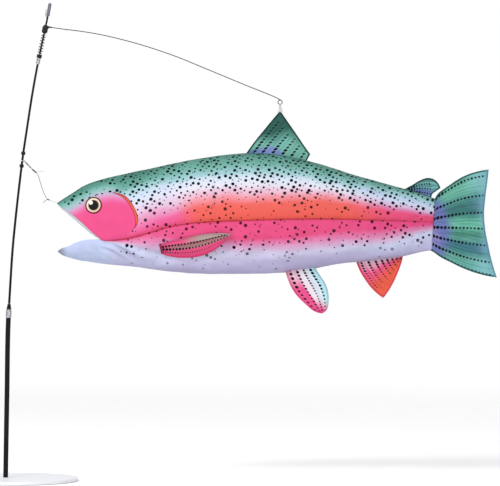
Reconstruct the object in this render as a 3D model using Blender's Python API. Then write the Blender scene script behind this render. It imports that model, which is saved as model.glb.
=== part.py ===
"""Fish windsock on a pole: a hollow fabric trout hangs from a spring wire arm that turns round a bowed pole.

The fish swims towards -X with its middle plane on Y = 0, and the pole stands at its nose. The origin is on
the underside of the base, below the pole's foot. Sizes are in millimetres, and MM turns them into metres.
"""

import math

import bmesh
import bpy
import numpy as np
from mathutils import Matrix, Vector

MM = 0.001
GAP = 0.3  # between pieces that touch
CUT = 0.4  # between two lengths of the fabric body

# Base and pole. Heights on the pole are above the base's top face.
BASE_RADIUS = 125.0
BASE_THICKNESS = 6.0
BASE_CHAMFER = 1.2
SOCKET_DEPTH = 4.5
TUBE_RADIUS = 4.25
TUBE_TOP = 275.7
FERRULE_RADIUS = 5.2
FERRULE_TOP = 290.2
CONE_TOP = 300.0
ROD_RADIUS = 2.1
ROD_TOP_RADIUS = 1.9
ROD_TOP = 714.7
UPPER_FERRULE_RADIUS = 3.55
UPPER_FERRULE_TOP = 725.2
COLLAR_RADIUS = 4.65
COLLAR_TOP = 731.4
TOP_ROD_RADIUS = 1.6
TOP_ROD_TOP = 797.6
CAP_RADIUS = 3.0
CAP_TOP = 820.6
CAP_STRAND = ((70.1, 796.4), (69.3, 802.5), (71.0, 809.0))
# The bow: the pole's offset along +X at heights above the base.
POLE_BOW = (
    (0, 0), (140, 2.3), (276, 4.9), (333, 8.1), (393, 12.0), (463, 18.9), (532, 26.9), (561, 30.6),
    (603, 36.9), (660, 45.7), (712, 55.0), (735, 59.6), (768, 66.7), (783, 69.9), (798, 73.0), (821, 77.0),
)

# Stops, spring and the pieces that turn
STOP_RADIUS = 3.9
STOP_HEIGHTS = (538.6, 560.6)
RING_HEIGHT = 547.4
RING_RADIUS = 3.9
RING_WIRE = 0.45
SPRING_RADIUS = 3.65
SPRING_WIRE = 0.6
SPRING_TURNS = 7
SPRING_HEIGHTS = (733.0, 766.2)
HUB_HEIGHT = 775.2
HUB_LENGTH = 14.4
HUB_RADIUS = 5.3
HUB_CLEARANCE = 0.8
ARM_WIRE = 0.75
EYE_RADIUS = 3.7
# The arm from the hub to the eye above the dorsal fin: distance along +X, height above the base.
ARM_ROUTE = (
    (77.2, 778.6), (99.3, 775.4), (128.7, 771.8), (162.4, 766.2), (205.5, 756.2), (248.4, 743.9),
    (288.2, 730.4), (354.3, 703.6), (420.6, 676.2), (453.6, 663.0), (470.0, 656.0),
)
EYE_CENTRE = (474.9, 648.8)
TAB_THICKNESS = 0.6
TAB_WIDTHS = (2.6, 9.0)
TAB_BOTTOM = 631.6
TAB_ROWS = 5

# The line from the ring to the nose: distance along +X, height above the base.
SWIVEL_SLOPE = math.radians(-45.5)
SWIVEL_BARREL_LENGTH = 10.6
SWIVEL_BARREL_RADIUS = 1.25
SWIVEL_EYE_RADIUS = 1.35
KNOT_LOOP = 2.6
KNOT_LOOP_WIDTH = 0.5
UPPER_KNOT = ((45.8, 533.1), (53.2, 526.8))
UPPER_TAG = ((53.0, 527.4), (57.5, 528.9), (62.0, 529.6), (66.6, 529.3))
LINE_ROUTE = (
    (53.9, 526.2), (57.2, 520.2), (59.6, 511.6), (63.0, 500.7), (66.5, 491.4), (71.1, 482.3),
)
LOWER_KNOT = ((71.5, 481.3), (76.3, 479.4))
LOWER_TAG = ((72.0, 480.6), (69.6, 479.2), (67.4, 477.6), (64.9, 475.2))
LOWER_LEAD = ((76.0, 479.5), (80.4, 478.0), (84.4, 476.2), (87.6, 474.4))
LINE_POINTS = 16
LINE_RADIUS = 0.45
KNOT_RADIUS = 1.1
TAG_RADIUS = 0.4

# Fish: x runs from the nose tip to the tail, z is above the nose tip.
NOSE_X = 88.1
NOSE_HEIGHT = 474.0
FABRIC = 1.2
FIN = 1.2
MOUTH_CORNER = 83.0
HEAD_END = 140.0
TRUNK_END = 598.5
STALK_END = 652.0
BACK = (
    (0, 0), (24, 15.6), (52, 32.4), (84, 42.8), (114, 49.6), (155, 58.5), (198, 68), (245, 77), (290, 83.5),
    (332, 87), (380, 84.5), (431, 74.5), (470, 63.5), (508, 51), (560, 36.5), (600, 25.5), (652, 9),
)
BELLY = (
    (1.6, -83.4), (10, -89.5), (24, -94.6), (70, -103.2), (139, -110.2), (186, -117), (232, -121),
    (316, -122.2), (393, -119.6), (440, -113.5), (490, -104.6), (551, -98.6), (597, -92), (624, -86),
    (652, -81.6),
)
SEAM = (
    (83, -65.2), (128, -61), (163, -51.5), (197, -41.8), (232, -35.6), (279, -32.2), (331, -30.2),
    (490, -28), (560, -30), (652, -32.5),
)
UPPER_LIP = (
    (0, 0), (13.2, -9.4), (30.4, -21.3), (46.3, -34.5), (62.2, -49.1), (72.8, -57.8), (83, -65.2),
)
LOWER_LIP = (
    (1.6, -83.4), (6.9, -79.4), (20.8, -74.4), (34.6, -68), (44, -65), (58, -62.6), (72.8, -63),
    (83, -65.2),
)
HALF_WIDTH = (
    (0, 0), (5, 10.5), (24, 24.5), (52, 37.5), (84, 48), (140, 57.5), (230, 64), (330, 66), (430, 60),
    (500, 49), (560, 35), (600, 23.5), (652, 5),
)
JAW_HALF_WIDTH = ((1.6, 0), (7, 11), (26, 25), (52, 37.5), (84, 48), (140, 57.5))

# Fins, as their free edges in the fish's own x and z
DORSAL_BASE = (330.0, 432.0)
DORSAL_EDGE = (
    ((332, 91.5), (345, 109.5), (359, 126.8), (373, 144), (387, 160.2)),
    ((387, 160.2), (400.5, 140.5), (414.5, 120.3), (428.5, 99.5), (439, 85)),
)
ADIPOSE_BASE = (601.0, 647.0)
ADIPOSE_EDGE = (
    ((605, 26), (615, 31.5), (629, 39.8), (642.5, 43.9), (653.6, 41.1), (660.5, 34.3), (664.3, 26.6)),
    ((664.3, 26.6), (657.5, 21.5), (650.5, 16.5)),
)
ANAL_BASE = (518.0, 599.0)
ANAL_EDGE = (
    ((522, -111), (535.5, -134.6), (550, -152), (565.3, -163.7)),
    ((565.3, -163.7), (577, -147.5), (587, -128), (594.3, -110.5), (598.6, -96.5)),
)
PELVIC_BASE = (395.5, 445.5)
PELVIC_OFFSET = 14.0
PELVIC_SPLAY = math.radians(9)
PELVIC_EDGE = (
    ((398, -125), (410.7, -152.9), (430.6, -174.4), (446, -186.5), (458, -190.1)),
    ((458, -190.1), (466.5, -184.5), (470.4, -170), (469.8, -155), (465, -139), (456.5, -126)),
)
PECTORAL_ROOT = (181.0, -79.5)
PECTORAL_TIP = (302.0, -54.5)
PECTORAL_SAG = 15.0
PECTORAL_CHORD = ((0, 14.5), (0.16, 29.0), (0.36, 35.0), (0.56, 36.5), (0.78, 29.0), (0.92, 15.5), (1, 4.0))
PECTORAL_LIFT = (1.6, 9.0)
TAIL_EDGE = (
    ((653.8, 7), (657, 13), (660.9, 18), (667.8, 23.2), (681.6, 32.8), (695.5, 42), (709.3, 49),
     (728, 55), (747.5, 58.6)),
    ((747.5, 58.6), (745.3, 36), (741.6, 8), (739.7, -20), (742, -48), (746.6, -72), (752.6, -98),
     (761.8, -128.4)),
    ((761.8, -128.4), (744, -125.4), (723, -119.8), (702.4, -112), (681.6, -102), (667, -94.8),
     (653.4, -86.2)),
)
EYE_PLACE = (65.6, -3.7)
EYE_DISC = 14.4
EYE_THICKNESS = 0.8
EYE_SIDES = 16

BLACK = (0.012, 0.012, 0.014)
GREY = (0.32, 0.33, 0.36)
STEEL = (0.42, 0.43, 0.45)
GREEN = (0.04, 0.32, 0.24)
PINK = (0.85, 0.09, 0.26)
LAVENDER = (0.62, 0.62, 0.86)
WHITE = (0.82, 0.83, 0.86)


# --- lines and finishes ---


def smooth_line(points):
    """Returns z(x) of a smooth line through points in order of x: a cubic between each two."""
    x, z = np.array(points, float).T
    step = np.diff(x)
    rise = np.diff(z) / step
    slope = np.zeros(len(x))
    slope[1:-1] = (rise[:-1] * step[1:] + rise[1:] * step[:-1]) / (step[:-1] + step[1:])
    slope[0] = 2 * rise[0] - slope[1]
    slope[-1] = 2 * rise[-1] - slope[-2]

    def at(where):
        where = np.clip(np.asarray(where, float), x[0], x[-1])
        i = np.clip(np.searchsorted(x, where) - 1, 0, len(step) - 1)
        t = (where - x[i]) / step[i]
        start = (1 + 2 * t) * (1 - t) ** 2 * z[i] + t * (1 - t) ** 2 * slope[i] * step[i]
        end = t * t * (3 - 2 * t) * z[i + 1] + t * t * (t - 1) * slope[i + 1] * step[i]
        return start + end

    return at


def smooth_path(points, count):
    """A smooth path through points of any dimension, as count points evenly spaced along it."""
    points = np.array(points, float)
    if len(points) == 2:
        return points[0] + np.linspace(0, 1, count)[:, None] * (points[1] - points[0])
    along = np.concatenate([[0], np.cumsum(np.linalg.norm(np.diff(points, axis=0), axis=1))])
    fine = np.linspace(0, along[-1], 400)
    dense = np.stack([smooth_line(np.stack([along, c], axis=1))(fine) for c in points.T], axis=1)
    run = np.concatenate([[0], np.cumsum(np.linalg.norm(np.diff(dense, axis=0), axis=1))])
    even = np.linspace(0, run[-1], count)
    return np.stack([np.interp(even, run, c) for c in dense.T], axis=1)


pole_offset = smooth_line(POLE_BOW)
back = smooth_line(BACK)
belly = smooth_line(BELLY)
seam = smooth_line(SEAM)
upper_lip = smooth_line(UPPER_LIP)
lower_lip = smooth_line(LOWER_LIP)
half_width = smooth_line(HALF_WIDTH)
jaw_half_width = smooth_line(JAW_HALF_WIDTH)


def pole_point(height):
    """The place on the pole's middle line at a height above the base."""
    return Vector((float(pole_offset(height)), 0, height + BASE_THICKNESS))


def pole_direction(height):
    return (pole_point(height + 1) - pole_point(height - 1)).normalized()


RING_PLACE = pole_point(RING_HEIGHT)
HUB_PLACE = pole_point(HUB_HEIGHT)
AXIS = (HUB_PLACE - RING_PLACE).normalized()
NOSE = Vector((NOSE_X, 0, NOSE_HEIGHT + BASE_THICKNESS))


def finish(name, colour, roughness, metallic=0.0):
    """A plain material, made once for each name."""
    material = bpy.data.materials.get(name)
    if material is None:
        material = bpy.data.materials.new(name)
        material.use_nodes = True
        shader = material.node_tree.nodes["Principled BSDF"]
        shader.inputs["Base Color"].default_value = (*colour, 1)
        shader.inputs["Roughness"].default_value = roughness
        shader.inputs["Metallic"].default_value = metallic
    return material


# --- ways of making a solid ---


def place(item, parent, location=(0, 0, 0), direction=None):
    """Puts an object at a place in millimetres, its Z along direction, and parents it there."""
    item.location = Vector(location) * MM
    if direction is not None:
        item.rotation_mode = "QUATERNION"
        item.rotation_quaternion = Vector((0, 0, 1)).rotation_difference(direction)
    item.parent = parent
    turn = parent.rotation_quaternion.to_matrix().to_4x4()
    item.matrix_parent_inverse = (Matrix.Translation(parent.location) @ turn).inverted()
    return item


def solid(name, points, faces, material):
    """A mesh object from points in millimetres, with doubles merged and its faces turned outwards."""
    mesh = bpy.data.meshes.new(name)
    mesh.from_pydata((np.asarray(points, float) * MM).tolist(), [], faces)
    shape = bmesh.new()
    shape.from_mesh(mesh)
    bmesh.ops.remove_doubles(shape, verts=shape.verts, dist=1e-6)
    bmesh.ops.dissolve_degenerate(shape, edges=shape.edges, dist=1e-6)
    bmesh.ops.triangulate(shape, faces=shape.faces, ngon_method="EAR_CLIP")
    bmesh.ops.recalc_face_normals(shape, faces=shape.faces)
    if shape.calc_volume(signed=True) < 0:
        bmesh.ops.reverse_faces(shape, faces=shape.faces)
    shape.to_mesh(mesh)
    shape.free()
    mesh.shade_smooth()
    mesh.set_sharp_from_angle(angle=math.radians(35))
    mesh.materials.append(material)
    item = bpy.data.objects.new(name, mesh)
    bpy.context.collection.objects.link(item)
    return item


def grid_faces(index):
    """The four-cornered faces between the rows and columns of an array of point numbers."""
    corners = (index[:-1, :-1], index[1:, :-1], index[1:, 1:], index[:-1, 1:])
    return np.stack([c.reshape(-1) for c in corners], axis=1).tolist()


def shell(name, outer, inner, material, ring=False):
    """One closed body between two grids of points; a ring is closed round each row."""
    rows, columns, _ = outer.shape
    count = rows * columns
    index = np.arange(count).reshape(rows, columns)
    if ring:
        index = np.concatenate([index, index[:, :1]], axis=1)
    faces = grid_faces(index) + grid_faces(index[::-1] + count)
    edges = [index[0], index[-1]] + ([] if ring else [index[:, 0], index[:, -1]])
    for edge in edges:
        faces += grid_faces(np.stack([edge, edge + count]))
    return solid(name, np.concatenate([outer.reshape(-1, 3), inner.reshape(-1, 3)]), faces, material)


def turned(name, profile, material, sides=24, bored=False):
    """A profile of (radius, height) turned about local Z; a bored piece's profile is a closed loop."""
    radius, height = np.array(profile, float).T
    angle = np.arange(sides) * 2 * math.pi / sides
    ones = np.ones(sides)
    points = np.stack(
        [np.outer(radius, np.cos(angle)), np.outer(radius, np.sin(angle)), np.outer(height, ones)], axis=2
    )
    index = np.arange(radius.size * sides).reshape(-1, sides)
    index = np.concatenate([index, index[:, :1]], axis=1)
    if bored:
        index = np.concatenate([index, index[:1]])
    return solid(name, points.reshape(-1, 3), grid_faces(index), material)


def rod(name, bottom, top, radius, top_radius, material, sides=20):
    """A straight round piece of the pole between two heights."""
    start = pole_point(bottom)
    run = pole_point(top) - start
    profile = ((0, 0), (radius, 0), (top_radius, run.length), (0, run.length))
    return turned(name, profile, material, sides), start, run.normalized()


def wire(name, points, radius, material, resolution=2, radii=None):
    """A round wire with closed ends along points in millimetres."""
    data = bpy.data.curves.new(name, "CURVE")
    data.dimensions = "3D"
    data.bevel_depth = radius * MM
    data.bevel_resolution = resolution
    data.use_fill_caps = True
    spline = data.splines.new("POLY")
    spline.points.add(len(points) - 1)
    places = np.concatenate([np.asarray(points, float) * MM, np.ones((len(points), 1))], axis=1)
    spline.points.foreach_set("co", places.reshape(-1))
    if radii is not None:
        spline.points.foreach_set("radius", radii)
    data.materials.append(material)
    item = bpy.data.objects.new(name, data)
    bpy.context.collection.objects.link(item)
    return item


def tube(name, points, radius, material, sides=6):
    """A round bar as a mesh along points that all lie near the middle plane, with closed ends."""
    points = np.asarray(points, float)
    along = np.gradient(points, axis=0)
    along /= np.linalg.norm(along, axis=1)[:, None]
    side = np.array([0.0, 1.0, 0.0])
    up = np.cross(along, side)
    up /= np.linalg.norm(up, axis=1)[:, None]
    angle = np.arange(sides) * 2 * math.pi / sides
    rings = points[:, None] + radius * (
        np.cos(angle)[None, :, None] * side + np.sin(angle)[None, :, None] * up[:, None]
    )
    ends = np.repeat(points[[0, -1]][:, None], sides, axis=1)
    rings = np.concatenate([ends[:1], rings, ends[1:]])
    index = np.arange(rings.shape[0] * sides).reshape(-1, sides)
    index = np.concatenate([index, index[:, :1]], axis=1)
    return solid(name, rings.reshape(-1, 3), grid_faces(index), material)


def torus(name, radius, thickness, material, sides=20, round_sides=8):
    """A closed wire ring round local Z."""
    angle = np.arange(round_sides) * 2 * math.pi / round_sides
    profile = np.stack([radius + thickness * np.cos(angle), thickness * np.sin(angle)], axis=1)
    return turned(name, profile, material, sides, bored=True)


def join(item, tools):
    """Adds tools to an item as one solid."""
    for tool in tools:
        union = item.modifiers.new("joined", "BOOLEAN")
        union.operation = "UNION"
        union.solver = "EXACT"
        union.object = tool
        tool.hide_render = True
        tool.display_type = "WIRE"
    return item


def in_plane(points, side=0.0):
    """Points (x, height above the base) as places in the middle plane, or beside it."""
    points = np.asarray(points, float)
    return np.stack([points[:, 0], np.full(len(points), side), points[:, 1] + BASE_THICKNESS], axis=1)


# --- base and pole ---


def make_base(foot):
    """A round steel plate with a blind socket that holds the foot of the pole."""
    bore = TUBE_RADIUS + GAP
    rim = BASE_RADIUS - BASE_CHAMFER
    floor = BASE_THICKNESS - SOCKET_DEPTH
    profile = (
        (0, 0), (rim, 0), (BASE_RADIUS, BASE_CHAMFER), (BASE_RADIUS, BASE_THICKNESS - BASE_CHAMFER),
        (rim, BASE_THICKNESS), (bore, BASE_THICKNESS), (bore, floor), (0, floor),
    )
    place(turned("stand_base", profile, finish("pale_steel", WHITE, 0.5, 0.2), sides=48), foot)


def make_pole(foot):
    """The lengths of the pole from its foot to the sleeve at its tip."""
    black = finish("black_fibreglass", BLACK, 0.35)
    grey = finish("grey_ferrule", GREY, 0.3, 0.9)
    lengths = (
        ("pole_tube", GAP - SOCKET_DEPTH, TUBE_TOP, TUBE_RADIUS, TUBE_RADIUS, black),
        ("pole_ferrule", TUBE_TOP + GAP, FERRULE_TOP, FERRULE_RADIUS, FERRULE_RADIUS, grey),
        ("pole_cone", FERRULE_TOP + GAP, CONE_TOP, TUBE_RADIUS, ROD_RADIUS + 0.5, black),
        ("upper_ferrule", ROD_TOP + GAP, UPPER_FERRULE_TOP, UPPER_FERRULE_RADIUS, UPPER_FERRULE_RADIUS, grey),
        ("spring_collar", UPPER_FERRULE_TOP + GAP, COLLAR_TOP, COLLAR_RADIUS, COLLAR_RADIUS, black),
    )
    for name, bottom, top, radius, top_radius, material in lengths:
        item, start, direction = rod(name, bottom, top, radius, top_radius, material)
        place(item, foot, start, direction)
    heights = np.linspace(CONE_TOP + GAP, ROD_TOP, 18)
    middle = [pole_point(h) for h in heights]
    taper = np.linspace(1, ROD_TOP_RADIUS / ROD_RADIUS, len(heights))
    place(wire("pole_rod", middle, ROD_RADIUS, black, 2, taper), foot)
    middle = [pole_point(h) for h in np.linspace(COLLAR_TOP + GAP, TOP_ROD_TOP, 10)]
    place(wire("top_rod", middle, TOP_ROD_RADIUS, black, 2), foot)
    length = CAP_TOP - TOP_ROD_TOP - GAP
    arc = np.linspace(0, math.pi / 2, 6)
    dome = [(CAP_RADIUS * math.cos(a), length + CAP_RADIUS * (math.sin(a) - 1)) for a in arc]
    neck = 0.8 * CAP_RADIUS
    cap = turned("end_cap", [(0, 0), (neck, 0), (neck, 1)] + dome, black, 14)
    place(cap, foot, pole_point(TOP_ROD_TOP + GAP), pole_direction(TOP_ROD_TOP + 10))


def make_stops(foot):
    """Two bored beads that keep the nose ring at its height."""
    bore = ROD_RADIUS + GAP
    start = math.acos(bore / STOP_RADIUS)
    arc = np.linspace(-start, start, 6)
    profile = [(STOP_RADIUS * math.cos(a), STOP_RADIUS * math.sin(a)) for a in arc]
    for name, height in zip(("stop_lower", "stop_upper"), STOP_HEIGHTS, strict=True):
        bead = turned(name, profile, finish("black_rubber", BLACK, 0.6), 12, bored=True)
        place(bead, foot, pole_point(height), pole_direction(height))


def make_spring(foot):
    """An open coil round the top rod, from the collar to just under the hub."""
    turn = np.linspace(0, SPRING_TURNS, SPRING_TURNS * 8 + 1)
    heights = SPRING_HEIGHTS[0] + (SPRING_HEIGHTS[1] - SPRING_HEIGHTS[0]) * turn / SPRING_TURNS
    slope = pole_direction(sum(SPRING_HEIGHTS) / 2)
    across = Vector((slope.z, 0, -slope.x))
    angle = 2 * math.pi * turn
    points = [
        pole_point(h) + SPRING_RADIUS * (math.cos(a) * across + math.sin(a) * Vector((0, 1, 0)))
        for h, a in zip(heights, angle, strict=True)
    ]
    place(wire("coil_spring", points, SPRING_WIRE, finish("dark_steel", BLACK, 0.35, 0.8), 1), foot)


def make_cap_strand(foot):
    """The loose strand that bows out beside the sleeve on the pole's tip."""
    route = in_plane(CAP_STRAND)
    place(wire("cap_strand", smooth_path(route, 9), TAG_RADIUS, finish("black_cord", BLACK, 0.7), 1), foot)


# --- hub, arm and hanger ---


def make_hub(axis):
    """The bored hub on the top rod, with the nozzle that holds the arm."""
    bore = TOP_ROD_RADIUS + HUB_CLEARANCE
    shape = (
        (0, 0.66), (0.1, 0.84), (0.28, 0.98), (0.44, 0.92), (0.56, 1), (0.76, 0.94), (0.9, 0.72), (1, 0.6),
    )
    profile = [(HUB_RADIUS * r, HUB_LENGTH * (h - 0.5)) for h, r in shape]
    profile += [(bore, HUB_LENGTH / 2), (bore, -HUB_LENGTH / 2)]
    black = finish("black_plastic", BLACK, 0.3)
    hub = place(turned("swivel_hub", profile, black, 14, bored=True), axis, HUB_PLACE, AXIS)
    start = in_plane(((73.0, 779.0),))[0]
    end = in_plane((ARM_ROUTE[0],))[0] - np.array([GAP, 0, 0])
    run = Vector(end - start)
    nozzle = turned("hub_nozzle", ((0, 0), (1.9, 0), (1.2, run.length), (0, run.length)), black, 10)
    join(hub, [place(nozzle, axis, start, run.normalized())])


def make_arm(axis):
    """The sprung wire: a long falling bow that ends in one turn, the eye above the dorsal fin."""
    rise = 2 * (ARM_WIRE + 0.25)
    start, sweep = math.radians(68), math.radians(346)
    angle = start - np.linspace(0, sweep, 17)
    turn = np.stack(
        [
            EYE_CENTRE[0] + EYE_RADIUS * np.cos(angle),
            rise * (np.linspace(0, 1, angle.size) - 0.46),
            EYE_CENTRE[1] + BASE_THICKNESS + EYE_RADIUS * np.sin(angle),
        ],
        axis=1,
    )
    arm = smooth_path(in_plane(ARM_ROUTE), 25)
    shift = np.clip((arm[:, 0] - 420) / 50, 0, 1)
    arm[:, 1] = turn[0, 1] * shift * shift * (3 - 2 * shift)
    route = np.concatenate([arm, turn])
    place(wire("arm_wire", route, ARM_WIRE, finish("spring_steel", STEEL, 0.3, 1.0), 1), axis)


def make_tab(axis):
    """A ribbon folded over the eye's wire, gathered there and spread on both sides of the fin's tip."""
    bend = ARM_WIRE + GAP + TAB_THICKNESS / 2
    top = EYE_CENTRE[1] - EYE_RADIUS
    leg = np.linspace(TAB_BOTTOM, top, TAB_ROWS + 1)[:-1]
    arc = np.linspace(0, math.pi, 7)
    straight = np.full(TAB_ROWS, bend)
    side = np.concatenate([straight, bend * np.cos(arc), -straight])
    height = np.concatenate([leg, top + bend * np.sin(arc), leg[::-1]])
    spread = np.clip((top - height) / (top - TAB_BOTTOM), 0, 1)
    width = TAB_WIDTHS[0] + (TAB_WIDTHS[1] - TAB_WIDTHS[0]) * spread**1.4
    normal = np.stack([np.gradient(height), -np.gradient(side)], axis=1)
    normal /= np.linalg.norm(normal, axis=1)[:, None]

    def layer(offset):
        x = EYE_CENTRE[0] + np.outer(width, (-0.5, 0, 0.5))
        y = np.repeat((side + offset * normal[:, 0])[:, None], 3, axis=1)
        z = np.repeat((height + offset * normal[:, 1])[:, None], 3, axis=1) + BASE_THICKNESS
        return np.stack([x, y, z], axis=2)

    half = TAB_THICKNESS / 2
    place(shell("hanger_tab", layer(half), layer(-half), finish("white_ribbon", WHITE, 0.6)), axis)


# --- the line to the nose ---


def barrel(name, ends, radius, material):
    """A short round knot between two places, narrower at its ends."""
    start, end = (Vector(p) for p in in_plane(ends))
    run = end - start
    profile = ((0, 0), (0.6, 0), (0.95, 0.15), (1, 0.5), (0.95, 0.85), (0.6, 1), (0, 1))
    piece = turned(name, [(radius * r, run.length * h) for r, h in profile], material, 10)
    return piece, start, run.normalized()


def make_nose_line(axis):
    """The ring round the pole, a barrel swivel, two knots with their tag ends, and the line between them."""
    steel = finish("bright_steel", STEEL, 0.25, 1.0)
    cord = finish("dark_cord", BLACK, 0.6)
    place(torus("nose_ring", RING_RADIUS, RING_WIRE, steel, 18, 6), axis, RING_PLACE, AXIS)

    down = Vector((math.cos(SWIVEL_SLOPE), 0, math.sin(SWIVEL_SLOPE)))
    beside = Vector((0, 1, 0))
    ring_side = RING_PLACE + RING_RADIUS * Vector((AXIS.z, 0, -AXIS.x))
    first_eye = ring_side + 0.4 * down
    barrel_start = first_eye + SWIVEL_EYE_RADIUS * down
    last_eye = barrel_start + (SWIVEL_BARREL_LENGTH + SWIVEL_EYE_RADIUS) * down
    shape = ((0, 0), (0.45, 0), (0.6, 0.08), (1, 0.2), (1, 0.8), (0.6, 0.92), (0.45, 1), (0, 1))
    profile = [(SWIVEL_BARREL_RADIUS * r, SWIVEL_BARREL_LENGTH * h) for r, h in shape]
    swivel = place(turned("line_swivel", profile, steel, 10), axis, barrel_start, down)
    eyes = []
    for name, centre in (("swivel_eye_a", first_eye), ("swivel_eye_b", last_eye)):
        eyes.append(place(torus(name, SWIVEL_EYE_RADIUS, RING_WIRE, steel, 10, 6), axis, centre, beside))
    join(swivel, eyes)

    upper, start, direction = barrel("knot_upper", UPPER_KNOT, KNOT_RADIUS, cord)
    place(upper, axis, start, direction)
    upward = Vector((-down.z, 0, down.x))
    loop = torus("knot_loop", KNOT_LOOP, TAG_RADIUS, cord, 12, 5)
    loop.data.transform(Matrix.Diagonal((1, KNOT_LOOP_WIDTH, 1, 1)))
    place(loop, axis, last_eye + (KNOT_LOOP + 0.1) * down, upward)
    tag = place(tube("knot_upper_tag", smooth_path(in_plane(UPPER_TAG), 6), TAG_RADIUS, cord), axis)
    join(upper, [loop, tag])

    route = smooth_path(in_plane(LINE_ROUTE), LINE_POINTS)
    place(wire("nose_line", route, LINE_RADIUS, finish("grey_line", GREY, 0.5), 2), axis)

    lower, start, direction = barrel("knot_lower", LOWER_KNOT, KNOT_RADIUS, cord)
    place(lower, axis, start, direction)
    tag = place(tube("knot_lower_tag", smooth_path(in_plane(LOWER_TAG), 5), TAG_RADIUS, cord), axis)
    lead = place(tube("knot_lower_lead", smooth_path(in_plane(LOWER_LEAD), 5), TAG_RADIUS, cord), axis)
    join(lower, [tag, lead])


# --- fabric body ---


def arch(x, half, crown, edge, thickness, count):
    """Sections across the body: half an ellipse from edge to edge over the crown, thinned by thickness."""
    angle = np.linspace(0, math.pi, count)
    height = crown - edge
    half = np.maximum(half - thickness, 0)
    height = np.sign(height) * np.maximum(np.abs(height) - thickness, 0)
    return np.stack(
        [
            np.repeat(x[:, None], count, axis=1),
            np.outer(half, np.cos(angle)),
            edge[:, None] + np.outer(height, np.sin(angle)),
        ],
        axis=2,
    )


def half_body(name, x, crown, edge, half, material, pointed=False, count=13):
    """The upper or lower half of a length of the body at places x; a pointed one closes to a tip."""
    inner_x = x
    closing = np.ones(len(x))
    if pointed:
        inner_x = x[0] + FABRIC + (x - x[0]) * (x[-1] - x[0] - FABRIC) / (x[-1] - x[0])
        closing = np.clip((x - x[0]) / (4 * FABRIC), 0, 1)
    outer = arch(x, half(x), crown(x), edge(x), 0, count)
    inner = arch(inner_x, half(inner_x), crown(inner_x), edge(inner_x), FABRIC, count)
    middle = np.stack([inner_x, 0 * x, edge(inner_x)], axis=1)[:, None]
    inner = middle + (inner - middle) * closing[:, None, None]
    return shell(name, outer, inner, material)


def jaw_places(start, rows=8):
    """Places along a jaw: close together at its tip, with one at the mouth's corner, then on to the cut."""
    jaw = start + (MOUTH_CORNER - start) * np.linspace(0, 1, rows) ** 1.6
    cheek = np.linspace(MOUTH_CORNER, HEAD_END - CUT / 2, 4)
    return np.concatenate([jaw, cheek[1:]])


def upper_edge(x):
    """The lower edge of the upper fabric: the lip in front of the mouth's corner, and the seam behind it."""
    return np.where(x < MOUTH_CORNER, upper_lip(x), seam(x)) + CUT / 2 * np.clip(x / 20, 0, 1)


def lower_edge(x):
    """The upper edge of the lower fabric."""
    return np.where(x < MOUTH_CORNER, lower_lip(x), seam(x)) - CUT / 2 * np.clip(x / 20 - 0.08, 0, 1)


def make_body(axis):
    """Head, lower jaw, back and belly panels, and the tail stalk: open shells parted by thin cuts."""
    green = finish("green_fabric", GREEN, 0.5)
    pink = finish("pink_fabric", PINK, 0.5)
    lavender = finish("lavender_fabric", LAVENDER, 0.5)
    head = jaw_places(0.0)
    jaw = jaw_places(LOWER_LIP[0][0])
    trunk = np.linspace(HEAD_END + CUT / 2, TRUNK_END - CUT / 2, 15)
    parts = (
        half_body("head", head, back, upper_edge, half_width, pink, True),
        half_body("lower_jaw", jaw, belly, lower_edge, jaw_half_width, lavender, True),
        half_body("back_panel", trunk, back, upper_edge, half_width, green),
        half_body("belly_panel", trunk, belly, lower_edge, half_width, lavender),
    )
    for item in parts:
        place(item, axis, NOSE)
    x = np.linspace(TRUNK_END + CUT / 2, STALK_END, 5)

    def section(thickness):
        top = arch(x, half_width(x), back(x), seam(x), thickness, 13)
        bottom = arch(x, half_width(x), belly(x), seam(x), thickness, 13)
        return np.concatenate([top, bottom[:, -2:0:-1]], axis=1)

    place(shell("tail_stalk", section(0), section(FABRIC), pink, ring=True), axis, NOSE)


def flank(x, z):
    """The body's half-width at a place on its side, in the fish's own x and z."""
    middle = np.where(x < MOUTH_CORNER, upper_lip(x), seam(x))
    reach = np.where(z > middle, back(x) - middle, middle - belly(x))
    return half_width(x) * np.sqrt(np.clip(1 - ((z - middle) / reach) ** 2, 0, 1))


# --- fins and eyes ---


def outline(edges, base=None, line=None, count=7):
    """A closed outline: its free edges in order, then its base along a line of the body."""
    points = [smooth_path(edge, count)[:-1] for edge in edges]
    points.append(np.array([edges[-1][-1]], float))
    if base is not None:
        x = np.linspace(base[1], base[0], 9)
        points.append(np.stack([x, line(x)], axis=1))
    return np.concatenate(points)


def fin_plate(name, edge, material, side=lambda points: 0 * points[:, 0]):
    """A flat fin of even thickness between two copies of its outline, moved sideways by side."""
    count = len(edge)
    y = side(edge)
    near = np.stack([edge[:, 0], y - FIN / 2, edge[:, 1]], axis=1)
    far = np.stack([edge[:, 0], y + FIN / 2, edge[:, 1]], axis=1)
    ring = np.arange(count + 1) % count
    faces = [list(range(count)), list(range(2 * count - 1, count - 1, -1))]
    faces += grid_faces(np.stack([ring, ring + count]))
    return solid(name, np.concatenate([near, far]), faces, material)


def make_middle_fins(axis):
    """Dorsal, adipose, anal and tail fins, flat in the middle plane."""
    green = finish("green_fin", GREEN, 0.5)
    pink = finish("pink_fin", PINK, 0.5)
    fins = (
        ("dorsal_fin", outline(DORSAL_EDGE, DORSAL_BASE, lambda x: back(x) + CUT), green),
        ("adipose_fin", outline(ADIPOSE_EDGE, ADIPOSE_BASE, lambda x: back(x) + CUT), green),
        ("anal_fin", outline(ANAL_EDGE, ANAL_BASE, lambda x: belly(x) - CUT), pink),
        ("tail_fin", outline(TAIL_EDGE, count=9), green),
    )
    for name, edge, material in fins:
        place(fin_plate(name, edge, material), axis, NOSE)


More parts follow.
